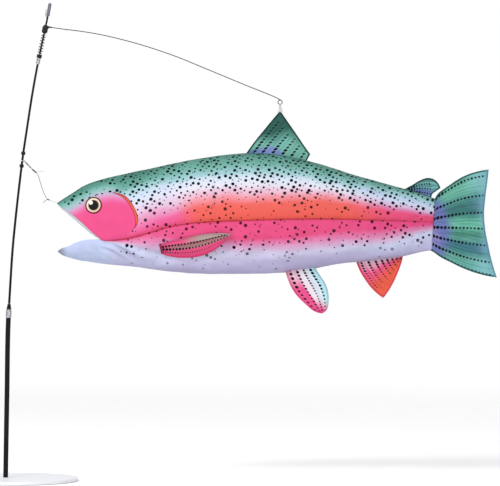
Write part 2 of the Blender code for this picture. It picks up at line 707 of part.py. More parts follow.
def make_pelvic_fins(axis):
    """The pair of pelvic fins, each leaning outwards from beside the belly's middle."""

    def root(x):
        width = half_width(x)
        middle = seam(x)
        return middle - (middle - belly(x)) * np.sqrt(1 - (PELVIC_OFFSET / width) ** 2) - 2 * CUT

    for name, side in (("pelvic_fin_near", -1), ("pelvic_fin_far", 1)):

        def sideways(points, side=side):
            depth = np.maximum(root(points[:, 0]) - points[:, 1], 0)
            return side * (PELVIC_OFFSET + depth * math.tan(PELVIC_SPLAY))

        edge = outline(PELVIC_EDGE, PELVIC_BASE, root)
        place(fin_plate(name, edge, finish("pink_fin", PINK, 0.5), sideways), axis, NOSE)


def make_pectoral_fins(axis):
    """The pair of pectoral fins, leaf-shaped, laid back along the flanks and lifting towards their tips."""
    chord = smooth_line(PECTORAL_CHORD)
    share = np.linspace(0, 1, 12)
    across = np.linspace(-0.5, 0.5, 5)
    root, tip = np.array(PECTORAL_ROOT), np.array(PECTORAL_TIP)
    run = (tip - root) / np.linalg.norm(tip - root)
    normal = np.array([-run[1], run[0]])
    sag = PECTORAL_SAG * np.sin(math.pi * share) / 2
    middle = root + share[:, None] * (tip - root) - np.outer(sag, normal)
    places = middle[:, None] + (chord(share)[:, None] * across)[:, :, None] * normal
    x, z = places[:, :, 0], places[:, :, 1]
    lift = PECTORAL_LIFT[0] + (PECTORAL_LIFT[1] - PECTORAL_LIFT[0]) * share[:, None]
    y = flank(x, z) + lift
    for name, side in (("pectoral_fin_near", -1), ("pectoral_fin_far", 1)):
        inner = np.stack([x, side * y, z], axis=2)
        outer = np.stack([x, side * (y + FIN), z], axis=2)
        place(shell(name, outer, inner, finish("pink_fin", PINK, 0.5)), axis, NOSE)


def make_eyes(axis):
    """The pair of eyes: thin discs that lie on the curved cheeks."""
    radius = EYE_DISC * np.linspace(0, 1, 4)[:, None]
    angle = np.arange(EYE_SIDES) * 2 * math.pi / EYE_SIDES
    x = EYE_PLACE[0] + radius * np.cos(angle)
    z = EYE_PLACE[1] + radius * np.sin(angle)
    y = flank(x, z) + 2 * GAP
    for name, side in (("eye_near", -1), ("eye_far", 1)):
        inner = np.stack([x, side * y, z], axis=2)
        outer = np.stack([x, side * (y + EYE_THICKNESS), z], axis=2)
        place(shell(name, outer, inner, finish("eye_print", WHITE, 0.4), ring=True), axis, NOSE)


def main():
    """Clears the scene and makes every piece under the two empties that carry them."""
    for item in list(bpy.data.objects):
        bpy.data.objects.remove(item, do_unlink=True)
    foot = bpy.data.objects.new("pole_foot", None)
    axis = bpy.data.objects.new("swivel_axis", None)
    for empty in (foot, axis):
        empty.rotation_mode = "QUATERNION"
        bpy.context.collection.objects.link(empty)
    axis.location = RING_PLACE * MM
    axis.rotation_quaternion = Vector((0, 0, 1)).rotation_difference(AXIS)
    make_base(foot)
    make_pole(foot)
    make_stops(foot)
    make_spring(foot)
    make_cap_strand(foot)
    make_hub(axis)
    make_arm(axis)
    make_tab(axis)
    make_nose_line(axis)
    make_body(axis)
    make_middle_fins(axis)
    make_pelvic_fins(axis)
    make_pectoral_fins(axis)
    make_eyes(axis)


main()
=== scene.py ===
"""A fabric trout windsock on its pole: the cloth, print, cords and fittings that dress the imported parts.

Every sub-assembly is a class: its fields are its sizes, build() works out its surfaces and dress() makes
them into finished pieces. Lists of outline points are in millimetres, MM turns them into metres, and the
fish's own x and z start at the tip of its nose. Heights on the pole are above the top face of the base.
"""

import logging
import math
from collections.abc import Callable, Sequence
from dataclasses import dataclass, field
from enum import Enum
from math import pi, tau
from typing import ClassVar

import bpy
import numpy as np
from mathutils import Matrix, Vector


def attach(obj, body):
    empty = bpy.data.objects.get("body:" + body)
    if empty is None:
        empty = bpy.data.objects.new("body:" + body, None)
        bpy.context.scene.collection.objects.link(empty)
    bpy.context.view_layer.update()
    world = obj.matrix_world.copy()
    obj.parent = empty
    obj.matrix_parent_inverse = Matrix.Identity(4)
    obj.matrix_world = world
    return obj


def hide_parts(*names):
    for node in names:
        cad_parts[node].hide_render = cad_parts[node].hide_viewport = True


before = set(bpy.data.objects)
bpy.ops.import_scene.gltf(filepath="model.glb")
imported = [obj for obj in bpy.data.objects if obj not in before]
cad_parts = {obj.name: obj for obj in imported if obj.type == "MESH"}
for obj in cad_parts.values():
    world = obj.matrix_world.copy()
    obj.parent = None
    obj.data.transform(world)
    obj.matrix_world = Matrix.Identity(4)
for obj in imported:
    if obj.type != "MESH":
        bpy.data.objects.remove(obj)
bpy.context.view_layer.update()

MM = 0.001
ACROSS = np.array([0.0, 1.0, 0.0])
UPRIGHT = np.array([0.0, 0.0, 1.0])
POLE_BODY = "pole"
SWIVEL_BODY = "swivel"
FINE_STEPS = 600  # places at which a smooth path is walked before it is spaced evenly
END_RINGS = 4  # rings in the round end of a tube
CORNER_SHARE = 0.45  # how much of an edge one rounded corner may take up
TINY = 1e-12
LEAST_SLOPE = 1e-6  # a smaller slope counts as this
ROUGHNESS_SPREAD = 0.16  # how far noise moves the roughness of a finish

Array = np.ndarray
Pair = tuple[float, float]
Triple = tuple[float, float, float]
Colour = Triple
Pairs = Sequence[Pair]
Paint = Callable[[Array, Array], Array]  # an ink, from the shares s from front to rear and u from root to tip

log = logging.getLogger("windsock")


# --- formulas ---


def smooth(points: Pairs | Array, where: Array | float) -> Array:
    """Reads a smooth line through points: a cubic between each two, with its slope at a point taken from both
    neighbours.

    Args:
        points: (x, z) pairs in order of x.
        where: places along x.

    Returns:
        The line's z at each place, held at the end values outside the points.
    """
    x, z = np.array(points, float).T
    step = np.diff(x)
    grade = np.diff(z) / step
    slope = np.zeros(len(x))
    slope[1:-1] = (grade[:-1] * step[1:] + grade[1:] * step[:-1]) / (step[:-1] + step[1:])
    slope[0] = 2 * grade[0] - slope[1]
    slope[-1] = 2 * grade[-1] - slope[-2]
    where = np.clip(np.asarray(where, float), x[0], x[-1])
    i = np.clip(np.searchsorted(x, where) - 1, 0, len(step) - 1)
    t = (where - x[i]) / step[i]
    start = (1 + 2 * t) * (1 - t) ** 2 * z[i] + t * (1 - t) ** 2 * slope[i] * step[i]
    end = t * t * (3 - 2 * t) * z[i + 1] + t * t * (t - 1) * slope[i + 1] * step[i]
    return start + end


def walked(places: Array, axis: int = 0) -> Array:
    """Gives how far each place lies along its row: the sum of the steps from the row's first place."""
    steps = np.linalg.norm(np.diff(places, axis=axis), axis=-1)
    return np.concatenate([0 * np.take(steps, [0], axis), np.cumsum(steps, axis=axis)], axis=axis)


def even_path(points: Sequence[Sequence[float]] | Array, count: int) -> Array:
    """Spaces points evenly along a smooth path through the given ones.

    Args:
        points: the path's own points, of any dimension.
        count: how many points to return.

    Returns:
        An array of count points, each coordinate a smooth line over the length walked.
    """
    points = np.array(points, float)
    if len(points) == 2:
        return points[0] + np.linspace(0, 1, count)[:, None] * (points[1] - points[0])
    run = walked(points)
    fine = np.linspace(0, run[-1], FINE_STEPS)
    dense = np.stack([smooth(paired(run, c), fine) for c in points.T], axis=1)
    run = walked(dense)
    return across_path(dense, run, np.linspace(0, run[-1], count))


def paired(first: Array, second: Array) -> Array:
    """Pairs the numbers of two rows."""
    return np.stack([first, second], axis=1)


def across_path(path: Array, run: Array, where: Array) -> Array:
    """Reads a path at places along it: each coordinate changes evenly between two neighbouring points."""
    return np.stack([np.interp(where, run, c) for c in path.T], axis=-1)


def rise(low: float | Array, high: float | Array, value: Array) -> Array:
    """Rises from 0 at low to 1 at high as 3 t squared minus 2 t cubed."""
    t = np.clip((value - low) / (high - low), 0, 1)
    return t * t * (3 - 2 * t)


def fall(low: float | Array, high: float | Array, value: Array) -> Array:
    """Falls from 1 at low to 0 at high as 1 minus what rise gives."""
    return 1 - rise(low, high, value)


def bell(value: Array, centre: float, width: float) -> Array:
    """Gives a hump of height 1: e to the power of minus the squared distance over the squared width."""
    return np.exp(-(((value - centre) / width) ** 2))


def mix(first: Array | Colour, second: Array | Colour, share: Array) -> Array:
    """Blends two colours: first times (1 - share) plus second times share."""
    share = np.asarray(share)[..., None]
    return np.asarray(first) * (1 - share) + np.asarray(second) * share


def layered(ink: Array | Colour, *layers: tuple[Array | Colour, Array]) -> Array:
    """Lays colours over an ink one after another, each by its own share."""
    for colour, share in layers:
        ink = mix(ink, colour, share)
    return ink


def streaks(turns: Array, power: float = 1) -> Array:
    """Gives streaks: half of 1 plus cos (2 pi turns), to a power that makes them thinner."""
    return (0.5 + 0.5 * np.cos(tau * turns)) ** power


def unit(vectors: Array) -> Array:
    """Divides each vector by its length."""
    return vectors / np.maximum(np.linalg.norm(vectors, axis=-1, keepdims=True), TINY)


def normals_of(places: Array) -> Array:
    """Gives the normals of a grid of places: the cross product of its two directions of travel."""
    return unit(np.cross(np.gradient(places, axis=0), np.gradient(places, axis=1)))


def distance_to(points: Array, path: Array) -> tuple[Array, Array]:
    """Finds how far flat points lie from a path, and how far along it the nearest place is.

    Args:
        points: (..., 2) places.
        path: (n, 2) dense points of the path.

    Returns:
        The least distance, and the share from 0 to 1 of the path's points at which it is reached.
    """
    flat = points.reshape(-1, 2)
    gaps = np.linalg.norm(flat[:, None] - path[None], axis=2)
    nearest = gaps.argmin(axis=1)
    least = gaps[np.arange(len(flat)), nearest]
    return least.reshape(points.shape[:-1]), (nearest / (len(path) - 1)).reshape(points.shape[:-1])


@dataclass(frozen=True)
class Ripples:
    """Soft waves over two coordinates: a sum of sines whose directions, phases and lengths come from a seed."""

    length: float
    seed: int
    count: int = 7
    squeeze: float = 1.0
    finer: Pair = (0.8, 2.2)

    def at(self, u: Array, v: Array) -> Array:
        """Sums the sines; each is sin(2 pi (u cos a + v sin a) / length + phase).

        Args:
            u: the first coordinate.
            v: the second one, which the squeeze multiplies.

        Returns:
            The height at each place, from about -1 to 1.
        """
        dice = np.random.default_rng(self.seed)
        total = np.zeros(np.broadcast(u, v).shape)
        for _ in range(self.count):
            angle, phase, finer = (dice.uniform(*ends) for ends in ((0, pi), (0, tau), self.finer))
            travel = (u * math.cos(angle) + v * self.squeeze * math.sin(angle)) * finer / self.length
            total += np.sin(tau * travel + phase) / finer
        return total / math.sqrt(self.count)


# --- surfaces ---


@dataclass
class Surface:
    """A skin over a grid of places, with what its finish reads at each place."""

    places: Array
    ring: bool = False
    marks: dict[str, Array] = field(default_factory=dict)
    chart: Array | None = None

    def faces(self) -> Array:
        """Numbers the corners of the faces between neighbouring rows and columns."""
        rows, columns = self.places.shape[:2]
        index = np.arange(rows * columns).reshape(rows, columns)
        if self.ring:
            index = np.concatenate([index, index[:, :1]], axis=1)
        corners = (index[:-1, :-1], index[1:, :-1], index[1:, 1:], index[:-1, 1:])
        return np.stack([c.reshape(-1) for c in corners], axis=1)


def make_piece(name: str, surfaces: Sequence[Surface]) -> bpy.types.Object:
    """Puts surfaces into one mesh object through arrays, with their marks and charts.

    Args:
        name: the object's name.
        surfaces: the surfaces, which share the names of their marks; a mark of three numbers is a colour.

    Returns:
        The new object, shaded smooth and linked to the scene.
    """
    points = np.concatenate([s.places.reshape(-1, 3) for s in surfaces])
    starts = np.cumsum([0] + [s.places[..., 0].size for s in surfaces[:-1]])
    faces = np.concatenate([s.faces() + start for s, start in zip(surfaces, starts, strict=True)])
    mesh = bpy.data.meshes.new(name)
    mesh.vertices.add(len(points))
    mesh.vertices.foreach_set("co", points.astype(np.float32).reshape(-1))
    mesh.loops.add(faces.size)
    mesh.loops.foreach_set("vertex_index", faces.astype(np.int32).reshape(-1))
    mesh.polygons.add(len(faces))
    mesh.polygons.foreach_set("loop_start", np.arange(0, faces.size, 4, dtype=np.int32))
    mesh.update(calc_edges=True)
    for mark, first in surfaces[0].marks.items():
        values = [s.marks[mark] for s in surfaces]
        kind, store = "FLOAT", "value"
        if first.ndim == 3:
            kind, store = "FLOAT_COLOR", "color"
            values = [np.pad(v, ((0, 0), (0, 0), (0, 1)), constant_values=1) for v in values]
        flat = np.concatenate([v.reshape(-1) for v in values]).astype(np.float32)
        mesh.attributes.new(mark, kind, "POINT").data.foreach_set(store, flat)
    if surfaces[0].chart is not None:
        chart = np.concatenate([s.chart.reshape(-1, 2) for s in surfaces])
        layer = mesh.uv_layers.new(name="Chart")
        layer.data.foreach_set("uv", chart[faces.reshape(-1)].astype(np.float32).reshape(-1))
    mesh.shade_smooth()
    piece = bpy.data.objects.new(name, mesh)
    bpy.context.collection.objects.link(piece)
    return piece


def circle(angle: Array, first: Array, second: Array) -> Array:
    """Goes round a circle of radius 1: first times cos a plus second times sin a."""
    return np.cos(angle)[..., None] * first + np.sin(angle)[..., None] * second


def swept(middle: Array, radius: Array, along: Array, side: Array, count: int) -> Surface:
    """Puts a circle round each place of a middle line.

    Args:
        middle: the places.
        radius: the radius at each place.
        along: the line's direction at each place, or one for all.
        side: a direction square to it at each place, or one for all.
        count: how many points each circle has.

    Returns:
        The surface: middle plus radius times (side cos a + (along x side) sin a).
    """
    angle = np.arange(count)[None] * tau / count
    up = np.atleast_2d(np.cross(along, side))[:, None]
    ring = circle(angle, np.atleast_2d(side)[:, None], up)
    return Surface((middle[:, None] + radius[:, None, None] * ring)[:, ::-1], ring=True)


@dataclass(frozen=True)
class Axis:
    """A straight line in space that turned shapes stand on."""

    foot: Array
    way: Array

    def sides(self) -> tuple[Array, Array]:
        """Gives the two directions square to the line: one in the middle plane, and one across it."""
        first = unit(np.cross(ACROSS, self.way))
        return first, np.cross(self.way, first)


def turned(axis: Axis, profile: Pairs | Array, sides: int = 48) -> Surface:
    """Turns a profile of (radius, height) pairs in metres about an axis."""
    radius, height = np.array(profile, float).T
    return swept(axis.foot + height[:, None] * unit(axis.way), radius, axis.way, axis.sides()[0], sides)


def tube(path: Array, radius: float, sides: int = 16, across: Sequence[float] | Array = ACROSS) -> Surface:
    """Carries a circle along a path, with round closed ends.

    Args:
        path: points of the middle line, in metres.
        radius: the tube's radius.
        sides: points on each circle.
        across: a direction that the path never runs along.

    Returns:
        The tube: each circle lies square to the path, and each end is half a ball.
    """
    along = unit(np.gradient(path, axis=0))
    bend = np.linspace(0, pi / 2, END_RINGS + 1)[:-1]
    start = path[0] - along[0] * radius * np.cos(bend)[:, None]
    end = path[-1] + along[-1] * radius * np.cos(bend[::-1])[:, None]
    wide = radius * np.concatenate([np.sin(bend), np.ones(len(path)), np.sin(bend[::-1])])
    along = np.pad(along, ((END_RINGS, END_RINGS), (0, 0)), "edge")
    return swept(np.concatenate([start, path, end]), wide, along, unit(np.cross(across, along)), sides)


def turned_along(path: Array, profile: Pairs | Array, sides: int = 40) -> Surface:
    """Turns a profile about a path in the middle plane.

    Args:
        path: points of the middle line in metres.
        profile: (radius in millimetres, share of the path) pairs in order.
        sides: points on each ring.

    Returns:
        The surface: at each share of the path's length a ring of the given radius.
    """
    radius, share = np.array(profile, float).T
    run = np.linspace(0, 1, len(path))
    along = unit(across_path(np.gradient(path, axis=0), run, share))
    return swept(across_path(path, run, share), radius * MM, along, ACROSS, sides)


def ring_path(centre: Array, radius: float, first: Array, second: Array, count: int = 49) -> Array:
    """Walks once round a circle: centre plus radius times (first cos a + second sin a)."""
    return centre + radius * circle(np.linspace(0, tau, count), first, second)


def rounded(profile: Pairs, bevel: float, steps: int = 4) -> Array:
    """Rounds each inner corner of a profile with a quarter-turn curve between two points bevel away from it.

    Args:
        profile: (radius, height) pairs in metres.
        bevel: how far from a corner its curve starts.
        steps: points on each curve.

    Returns:
        The profile with its corners rounded: a curve of the second degree with the corner as its guide.
    """
    corners = np.array(profile, float)
    out = [corners[:1]]
    t = np.linspace(0, 1, steps)[:, None]
    for before, here, after in zip(corners[:-2], corners[1:-1], corners[2:], strict=True):
        near = min(bevel, *(CORNER_SHARE * np.linalg.norm(far - here) for far in (before, after)))
        start = here + unit(before - here) * near
        end = here + unit(after - here) * near
        out.append((1 - t) ** 2 * start + 2 * t * (1 - t) * here + t * t * end)
    out.append(corners[-1:])
    return np.concatenate(out)


# --- finishes ---


@dataclass(frozen=True)
class Flow:
    """What runs out of a node; its sums, differences, products and shares are nodes of their own."""

    tree: "Tree"
    socket: bpy.types.NodeSocket

    def __add__(self, other: object) -> "Flow":
        """Adds another flow or a number."""
        return self.tree.math("ADD", self, other)

    def __sub__(self, other: object) -> "Flow":
        """Takes another flow or a number away."""
        return self.tree.math("SUBTRACT", self, other)

    def __mul__(self, other: object) -> "Flow":
        """Multiplies by another flow or a number."""
        return self.tree.math("MULTIPLY", self, other)

    def __truediv__(self, other: object) -> "Flow":
        """Divides by another flow or a number."""
        return self.tree.math("DIVIDE", self, other)

    def __abs__(self) -> "Flow":
        """Drops the sign."""
        return self.tree.math("ABSOLUTE", self)

    def part(self, which: int | str) -> "Flow":
        """Reads another output of the same node."""
        return Flow(self.tree, self.socket.node.outputs[which])


class Tree:
    """A material's node tree, with short calls for the nodes that the finishes use."""

    def __init__(self, name: str) -> None:
        """Makes a material of this name with one shader."""
        self.material = bpy.data.materials.new(name)
        self.material.use_nodes = True
        self.shader = self.material.node_tree.nodes["Principled BSDF"].inputs

    def feed(self, socket: bpy.types.NodeSocket, value: object) -> None:
        """Links a flow into a socket, or sets a plain value on it."""
        if isinstance(value, Flow):
            self.material.node_tree.links.new(value.socket, socket)
        else:
            socket.default_value = (*value, 1) if socket.type == "RGBA" else value

    def node(self, kind: str, fed: dict[int | str, object], out: int | str = 0, **settings: object) -> Flow:
        """Adds a node.

        Args:
            kind: its type.
            fed: what goes into its inputs, by their names or numbers.
            out: the output to read.
            settings: its properties.

        Returns:
            What runs out of it.
        """
        made = self.material.node_tree.nodes.new("ShaderNode" + kind)
        for setting, value in settings.items():
            setattr(made, setting, value)
        for socket, value in fed.items():
            self.feed(made.inputs[socket], value)
        return Flow(self, made.outputs[out])

    def math(self, operation: str, *values: object) -> Flow:
        """Works out one operation on numbers."""
        return self.node("Math", dict(enumerate(values)), operation=operation)

    def step(self, low: object, high: object, value: Flow) -> Flow:
        """Rises smoothly from 0 at low to 1 at high; low is below high."""
        fed = {"Value": value, "From Min": low, "From Max": high}
        return self.node("MapRange", fed, interpolation_type="SMOOTHSTEP")

    def rest(self, share: Flow) -> Flow:
        """Gives what is left of 1."""
        return self.math("SUBTRACT", 1.0, share)

    def below(self, low: object, high: object, value: Flow) -> Flow:
        """Falls smoothly from 1 at low to 0 at high."""
        return self.rest(self.step(low, high, value))

    def blend(self, first: object, second: object, share: object) -> Flow:
        """Blends two colours by a share."""
        return self.node("Mix", {0: share, 6: first, 7: second}, 2, data_type="RGBA")

    def times(self, colour: Flow, factor: object) -> Flow:
        """Multiplies a colour by a number."""
        return self.node("VectorMath", {0: colour, "Scale": factor}, operation="SCALE")

    def mark(self, name: str, out: str = "Fac") -> Flow:
        """Reads a number, or a colour, that the surface carries."""
        return self.node("Attribute", {}, out, attribute_name=name)

    def ink(self, name: str = "ink") -> Flow:
        """Reads a colour that the surface carries."""
        return self.mark(name, "Color")

    def place(self) -> Flow:
        """Gives the place on the object."""
        return self.node("TexCoord", {}, "Object")

    def chart(self) -> Flow:
        """Gives the flat place on the cloth, in metres."""
        return self.node("UVMap", {}, uv_map="Chart")

    def noise(self, where: Flow, size: float, detail: float = 3.0) -> Flow:
        """Gives soft noise from 0 to 1 whose lumps are about size metres apart."""
        return self.node("TexNoise", {"Vector": where, "Scale": 1 / size, "Detail": detail}, "Fac")

    def bump(self, height: Flow, depth: float, strength: float) -> None:
        """Lifts the surface by a height from 0 to 1 that stands for depth metres."""
        fed = {"Strength": strength, "Distance": depth, "Height": height}
        self.feed(self.shader["Normal"], self.node("Bump", fed))

    def gloss(
        self, colour: object, roughness: float, metallic: float, specular: float, uneven: Flow | None = None,
    ) -> None:
        """Sets the shader's main values.

        Args:
            colour: the base colour.
            roughness: the roughness where the noise is at its middle.
            metallic: how metallic it is.
            specular: how strongly it mirrors.
            uneven: a noise from 0 to 1 that moves the roughness.
        """
        rough = uneven * ROUGHNESS_SPREAD + (roughness - ROUGHNESS_SPREAD / 2) if uneven else roughness
        inputs = {"Base Color": colour, "Roughness": rough, "Metallic": metallic, "Specular IOR Level": specular}
        for name, value in inputs.items():
            self.feed(self.shader[name], value)


def darker(colour: Colour, share: float) -> Colour:
    """Multiplies a colour by a share."""
    return tuple(min(channel * share, 1.0) for channel in colour)


@dataclass(frozen=True)
class Look:
    """What every finish has: a name, and lay(), which fills the tree of its material."""

    name: str

    def material(self) -> bpy.types.Material:
        """Makes the material once, and gives the same one again after that."""
        found = bpy.data.materials.get(self.name)
        if found is None:
            tree = Tree(self.name)
            self.lay(tree)
            found = tree.material
        return found


@dataclass(frozen=True)
class Solid(Look):
    """A moulded, coated or metal finish with a faint grain in its colour, gloss and surface."""

    colour: Colour
    roughness: float
    metallic: float
    grain: float
    relief: float
    streak: float = 1.0
    shade: float = 0.18
    specular: float = 0.5
    lump: float = 12.0

    def lay(self, tree: Tree) -> None:
        """Lays noise drawn out along Z, which darkens the colour and moves the roughness."""
        drawn = tree.node("Mapping", {"Vector": tree.place(), "Scale": (1, 1, 1 / self.streak)})
        fine = tree.noise(drawn, self.grain, 4)
        broad = tree.noise(drawn, self.grain * self.lump, 2)
        dull, bright = darker(self.colour, 1 - self.shade), darker(self.colour, 1 + self.shade)
        colour = tree.blend(dull, bright, tree.step(0.1, 0.4, fine * broad))
        tree.gloss(colour, self.roughness, self.metallic, self.specular, broad)
        tree.bump(fine, self.relief, 0.6)


@dataclass(frozen=True)
class Thread(Look):
    """A twisted or braided cord: fine diagonal strands across its length."""

    colour: Colour
    pitch: float = 0.0007
    valley: float = 0.55
    depth: float = 0.0001

    def lay(self, tree: Tree) -> None:
        """Lays the strands: bands of a wave over the place, bent by soft noise, with darker colour in the grooves
        between them as painted shade.
        """
        strand = tree.node(
            "TexWave", {"Vector": tree.place(), "Scale": 0.31 / self.pitch, "Distortion": 1.5}, "Fac",
            wave_type="BANDS", bands_direction="DIAGONAL", wave_profile="SIN",
        )
        # painted shade: darker colour in the grooves between the strands
        tree.gloss(tree.blend(darker(self.colour, self.valley), self.colour, strand), 0.62, 0.0, 0.3)
        tree.bump(strand, self.depth, 0.7)


@dataclass(frozen=True)
class Weave:
    """The cloth under every print: a fine plain weave, small crumples and a satin gloss."""

    pitch: float = 0.0008
    roughness: float = 0.52
    specular: float = 0.035
    crumple: float = 0.022
    depth: float = 0.0016
    strength: float = 0.59

    def lay(self, tree: Tree, print_colour: Flow, raised: float | Flow = 0.0) -> None:
        """Gives a tree its cloth surface: sin(2 pi u / pitch) times sin(2 pi v / pitch), and crumples of noise.

        Args:
            tree: the material's tree.
            print_colour: the print's colour.
            raised: how far a hem or a fold stands up, where 1 is as high as a crumple.
        """
        warp = tree.node("SeparateXYZ", {0: tree.chart()})
        turn = tau / self.pitch
        weave = tree.math("SINE", warp * turn) * tree.math("SINE", warp.part(1) * turn) * 0.5 + 0.5
        crumple = tree.noise(tree.place(), self.crumple)
        # painted shade: the tone follows the same weave and crumples that the bump lifts, so their hollows are darker
        tone = (weave * 0.05 + crumple * 0.12 + 0.915) * self.strength
        tree.gloss(tree.times(print_colour, tone), self.roughness, 0.0, self.specular, crumple)
        tree.bump(weave * 0.04 + crumple + raised, self.depth, 0.55)


@dataclass(frozen=True)
class Spots:
    """A scatter of round ink spots: one in each cell of an uneven net, if the cell's own luck is good enough."""

    spacing: float
    radius: Pair
    turn: float
    uneven: float
    blur: Pair = (0.00026, 0.00022)

    def mask(self, tree: Tree, density: Flow) -> Flow:
        """Draws the spots, which shrink away as their luck comes near the density.

        Args:
            tree: the material's tree.
            density: the share of the cells that have a spot.

        Returns:
            1 inside a spot and 0 outside.
        """
        turned_chart = tree.node("Mapping", {"Vector": tree.chart(), "Rotation": (0, 0, self.turn)})
        net = tree.node(
            "TexVoronoi", {"Vector": turned_chart, "Scale": 1 / self.spacing, "Randomness": self.uneven}, "Distance",
            voronoi_dimensions="2D", feature="F1",
        )
        luck = tree.node("SeparateColor", {0: net.part("Color")})
        kept = tree.step(0.0, 0.1, density - luck.part(1))
        radius = (luck * (self.radius[1] - self.radius[0]) + self.radius[0]) * kept
        inside = tree.below(radius - self.blur[0], radius + self.blur[1], net * self.spacing)
        return inside * tree.step(0.0, 0.3, kept)


@dataclass(frozen=True)
class BodyPrint(Look):
    """The body's print: banded inks, spots in two sizes, and the gill cover's edge.

    A spot's colour is a share of the ink below it: the first share in pale and green inks, the second in red.
    """

    name: str = "printed_body_cloth"
    large: Spots = Spots(0.0087, (0.0008, 0.0031), 0.47, 0.52)
    small: Spots = Spots(0.013, (0.0004, 0.0012), -0.71, 0.8)
    fewer: float = 0.85
    spot: Pair = (0.012, 0.12)
    gill: Colour = (0.8, 0.125, 0.065)
    gill_line: Colour = (0.36, 0.035, 0.07)
    line_width: float = 0.0009
    blur: float = 0.0003

    def gill_ink(self, tree: Tree) -> tuple[Flow, Flow]:
        """Draws the gill cover's edge: the ink with a red band and a dark line on it, and the band's share."""
        away, half, shown = abs(tree.mark("gill")), tree.mark("gill_half"), tree.mark("gill_line")
        outer = half + shown * self.line_width
        lined = tree.below(outer - self.blur, outer + 0.0002, away) * tree.step(0.0, 0.4, shown)
        filled = tree.below(half - self.blur, half + 0.0001, away) * tree.step(0.0, self.blur, half)
        return tree.blend(tree.blend(tree.ink(), self.gill_line, lined), self.gill, filled), filled

    def lay(self, tree: Tree) -> None:
        """Lays the inks, the gill cover's edge and the spots."""
        ink, filled = self.gill_ink(tree)
        density = tree.mark("spots")
        small = self.small.mask(tree, density * self.fewer) * self.fewer
        spotted = tree.math("MAXIMUM", self.large.mask(tree, density), small)
        red = tree.node("SeparateColor", {0: ink})
        red = tree.step(0.25, 0.7, red - red.part(1))
        dark = tree.times(ink, red * (self.spot[1] - self.spot[0]) + self.spot[0])
        Weave().lay(tree, tree.blend(ink, dark, spotted * tree.mark("spot_ink") * tree.rest(filled)))


@dataclass(frozen=True)
class FinPrint(Look):
    """A fin's print: banded inks, rows of dots that run out along the rays, and thin lines between them."""

    name: str = "printed_fin_cloth"
    dot: Colour = (0.006, 0.009, 0.014)
    blur: float = 0.0002
    line: Pair = (0.0001, 0.00045)
    line_tone: float = 0.22
    drawn: Pair = (0.0003, 0.0007)
    hem_width: float = 0.003
    stitch: float = 0.0028
    thread: Pair = (0.0001, 0.00032)
    thread_tone: float = 0.45

    def dots(self, tree: Tree, off_row: Flow) -> Flow:
        """Draws the dots, which lie on the rays wherever the steps along them are whole.

        Args:
            tree: the material's tree.
            off_row: the distance to the nearest ray.

        Returns:
            1 inside a dot and 0 outside.
        """
        pitch = tree.mark("pitch")
        steps = tree.mark("reach") / pitch
        count = tree.math("ROUND", steps)
        along = (steps - count) * pitch
        pair = tree.node("CombineXYZ", {0: tree.math("ROUND", tree.mark("ray")), 1: count})
        luck = tree.node("TexWhiteNoise", {"Vector": pair}, "Value", noise_dimensions="2D")
        size = tree.mark("dot") * (luck * 0.3 + 0.88)
        away = tree.math("SQRT", off_row * off_row + along * along)
        return tree.below(size - self.blur, size + self.blur, away) * tree.step(0.0001, 0.0004, size)

    def rays(self, tree: Tree) -> Flow:
        """Lays the inks with what follows the rays: the lines between them, the drawn ray and the dots."""
        ink, ray, gap = tree.ink(), tree.mark("ray"), tree.mark("gap")
        between = tree.below(*self.line, abs(tree.math("FRACT", ray) - 0.5) * gap)
        ink = tree.blend(ink, tree.times(ink, self.line_tone), between * tree.mark("line"))
        off_row = (ray - tree.math("ROUND", ray)) * gap
        drawn = tree.below(*self.drawn, abs(off_row)) * tree.mark("solid")
        return tree.blend(tree.blend(ink, self.dot, drawn), self.dot, self.dots(tree, off_row))

    def lay(self, tree: Tree) -> None:
        """Lays the inks and rays, and the folded hem with its row of stitches."""
        hem, edge = tree.ink("hem"), tree.mark("edge")
        folded = tree.below(self.hem_width * 0.75, self.hem_width * 1.05, edge)
        ink = tree.blend(self.rays(tree), hem, folded * 0.9)
        gaps = tree.step(0.25, 0.35, tree.math("FRACT", tree.mark("walk") / self.stitch))
        thread = tree.below(*self.thread, abs(edge - self.hem_width * 0.8)) * gaps
        ink = tree.blend(ink, tree.times(hem, self.thread_tone), thread * 0.7)
        Weave().lay(tree, ink, thread * -0.35 + folded * 0.45)


@dataclass(frozen=True)
class Reverse(Look):
    """The unprinted side of the cloth, on which the print shows through faintly."""

    name: str = "cloth_reverse"
    plain: Colour = (0.78, 0.8, 0.86)
    through: float = 0.3

    def lay(self, tree: Tree) -> None:
        """Blends the plain cloth with the ink on its other side."""
        Weave().lay(tree, tree.blend(self.plain, tree.ink(), self.through))


@dataclass(frozen=True)
class EyePrint(Look):
    """A printed eye: rings about its middle, each from a share of the radius inwards, and a highlight."""

    name: str = "printed_eye"
    iris: Colour = (0.94, 0.8, 0.6)
    iris_shade: Colour = (0.62, 0.34, 0.17)
    rings: Sequence[tuple[Colour, str, Pair]] = (
        ((0.1, 0.035, 0.03), "radius", (0.6, 0.67)),
        ((0.003, 0.003, 0.004), "radius", (0.48, 0.6)),
        ((0.96, 0.94, 0.9), "glint", (0.2, 0.28)),
    )
    rim: Colour = (0.075, 0.014, 0.022)
    rim_start: Pair = (0.83, 0.87)
    roughness: float = 0.36

    def lay(self, tree: Tree) -> None:
        """Lays the iris, the rings and the highlight on it, and the rim round it."""
        ink = tree.blend(self.iris, self.iris_shade, tree.mark("low") * 0.45)
        for colour, mark, ends in self.rings:
            ink = tree.blend(ink, colour, tree.below(*ends, tree.mark(mark)))
        rim = tree.step(*self.rim_start, tree.mark("radius"))
        Weave(roughness=self.roughness).lay(tree, tree.blend(ink, self.rim, rim))


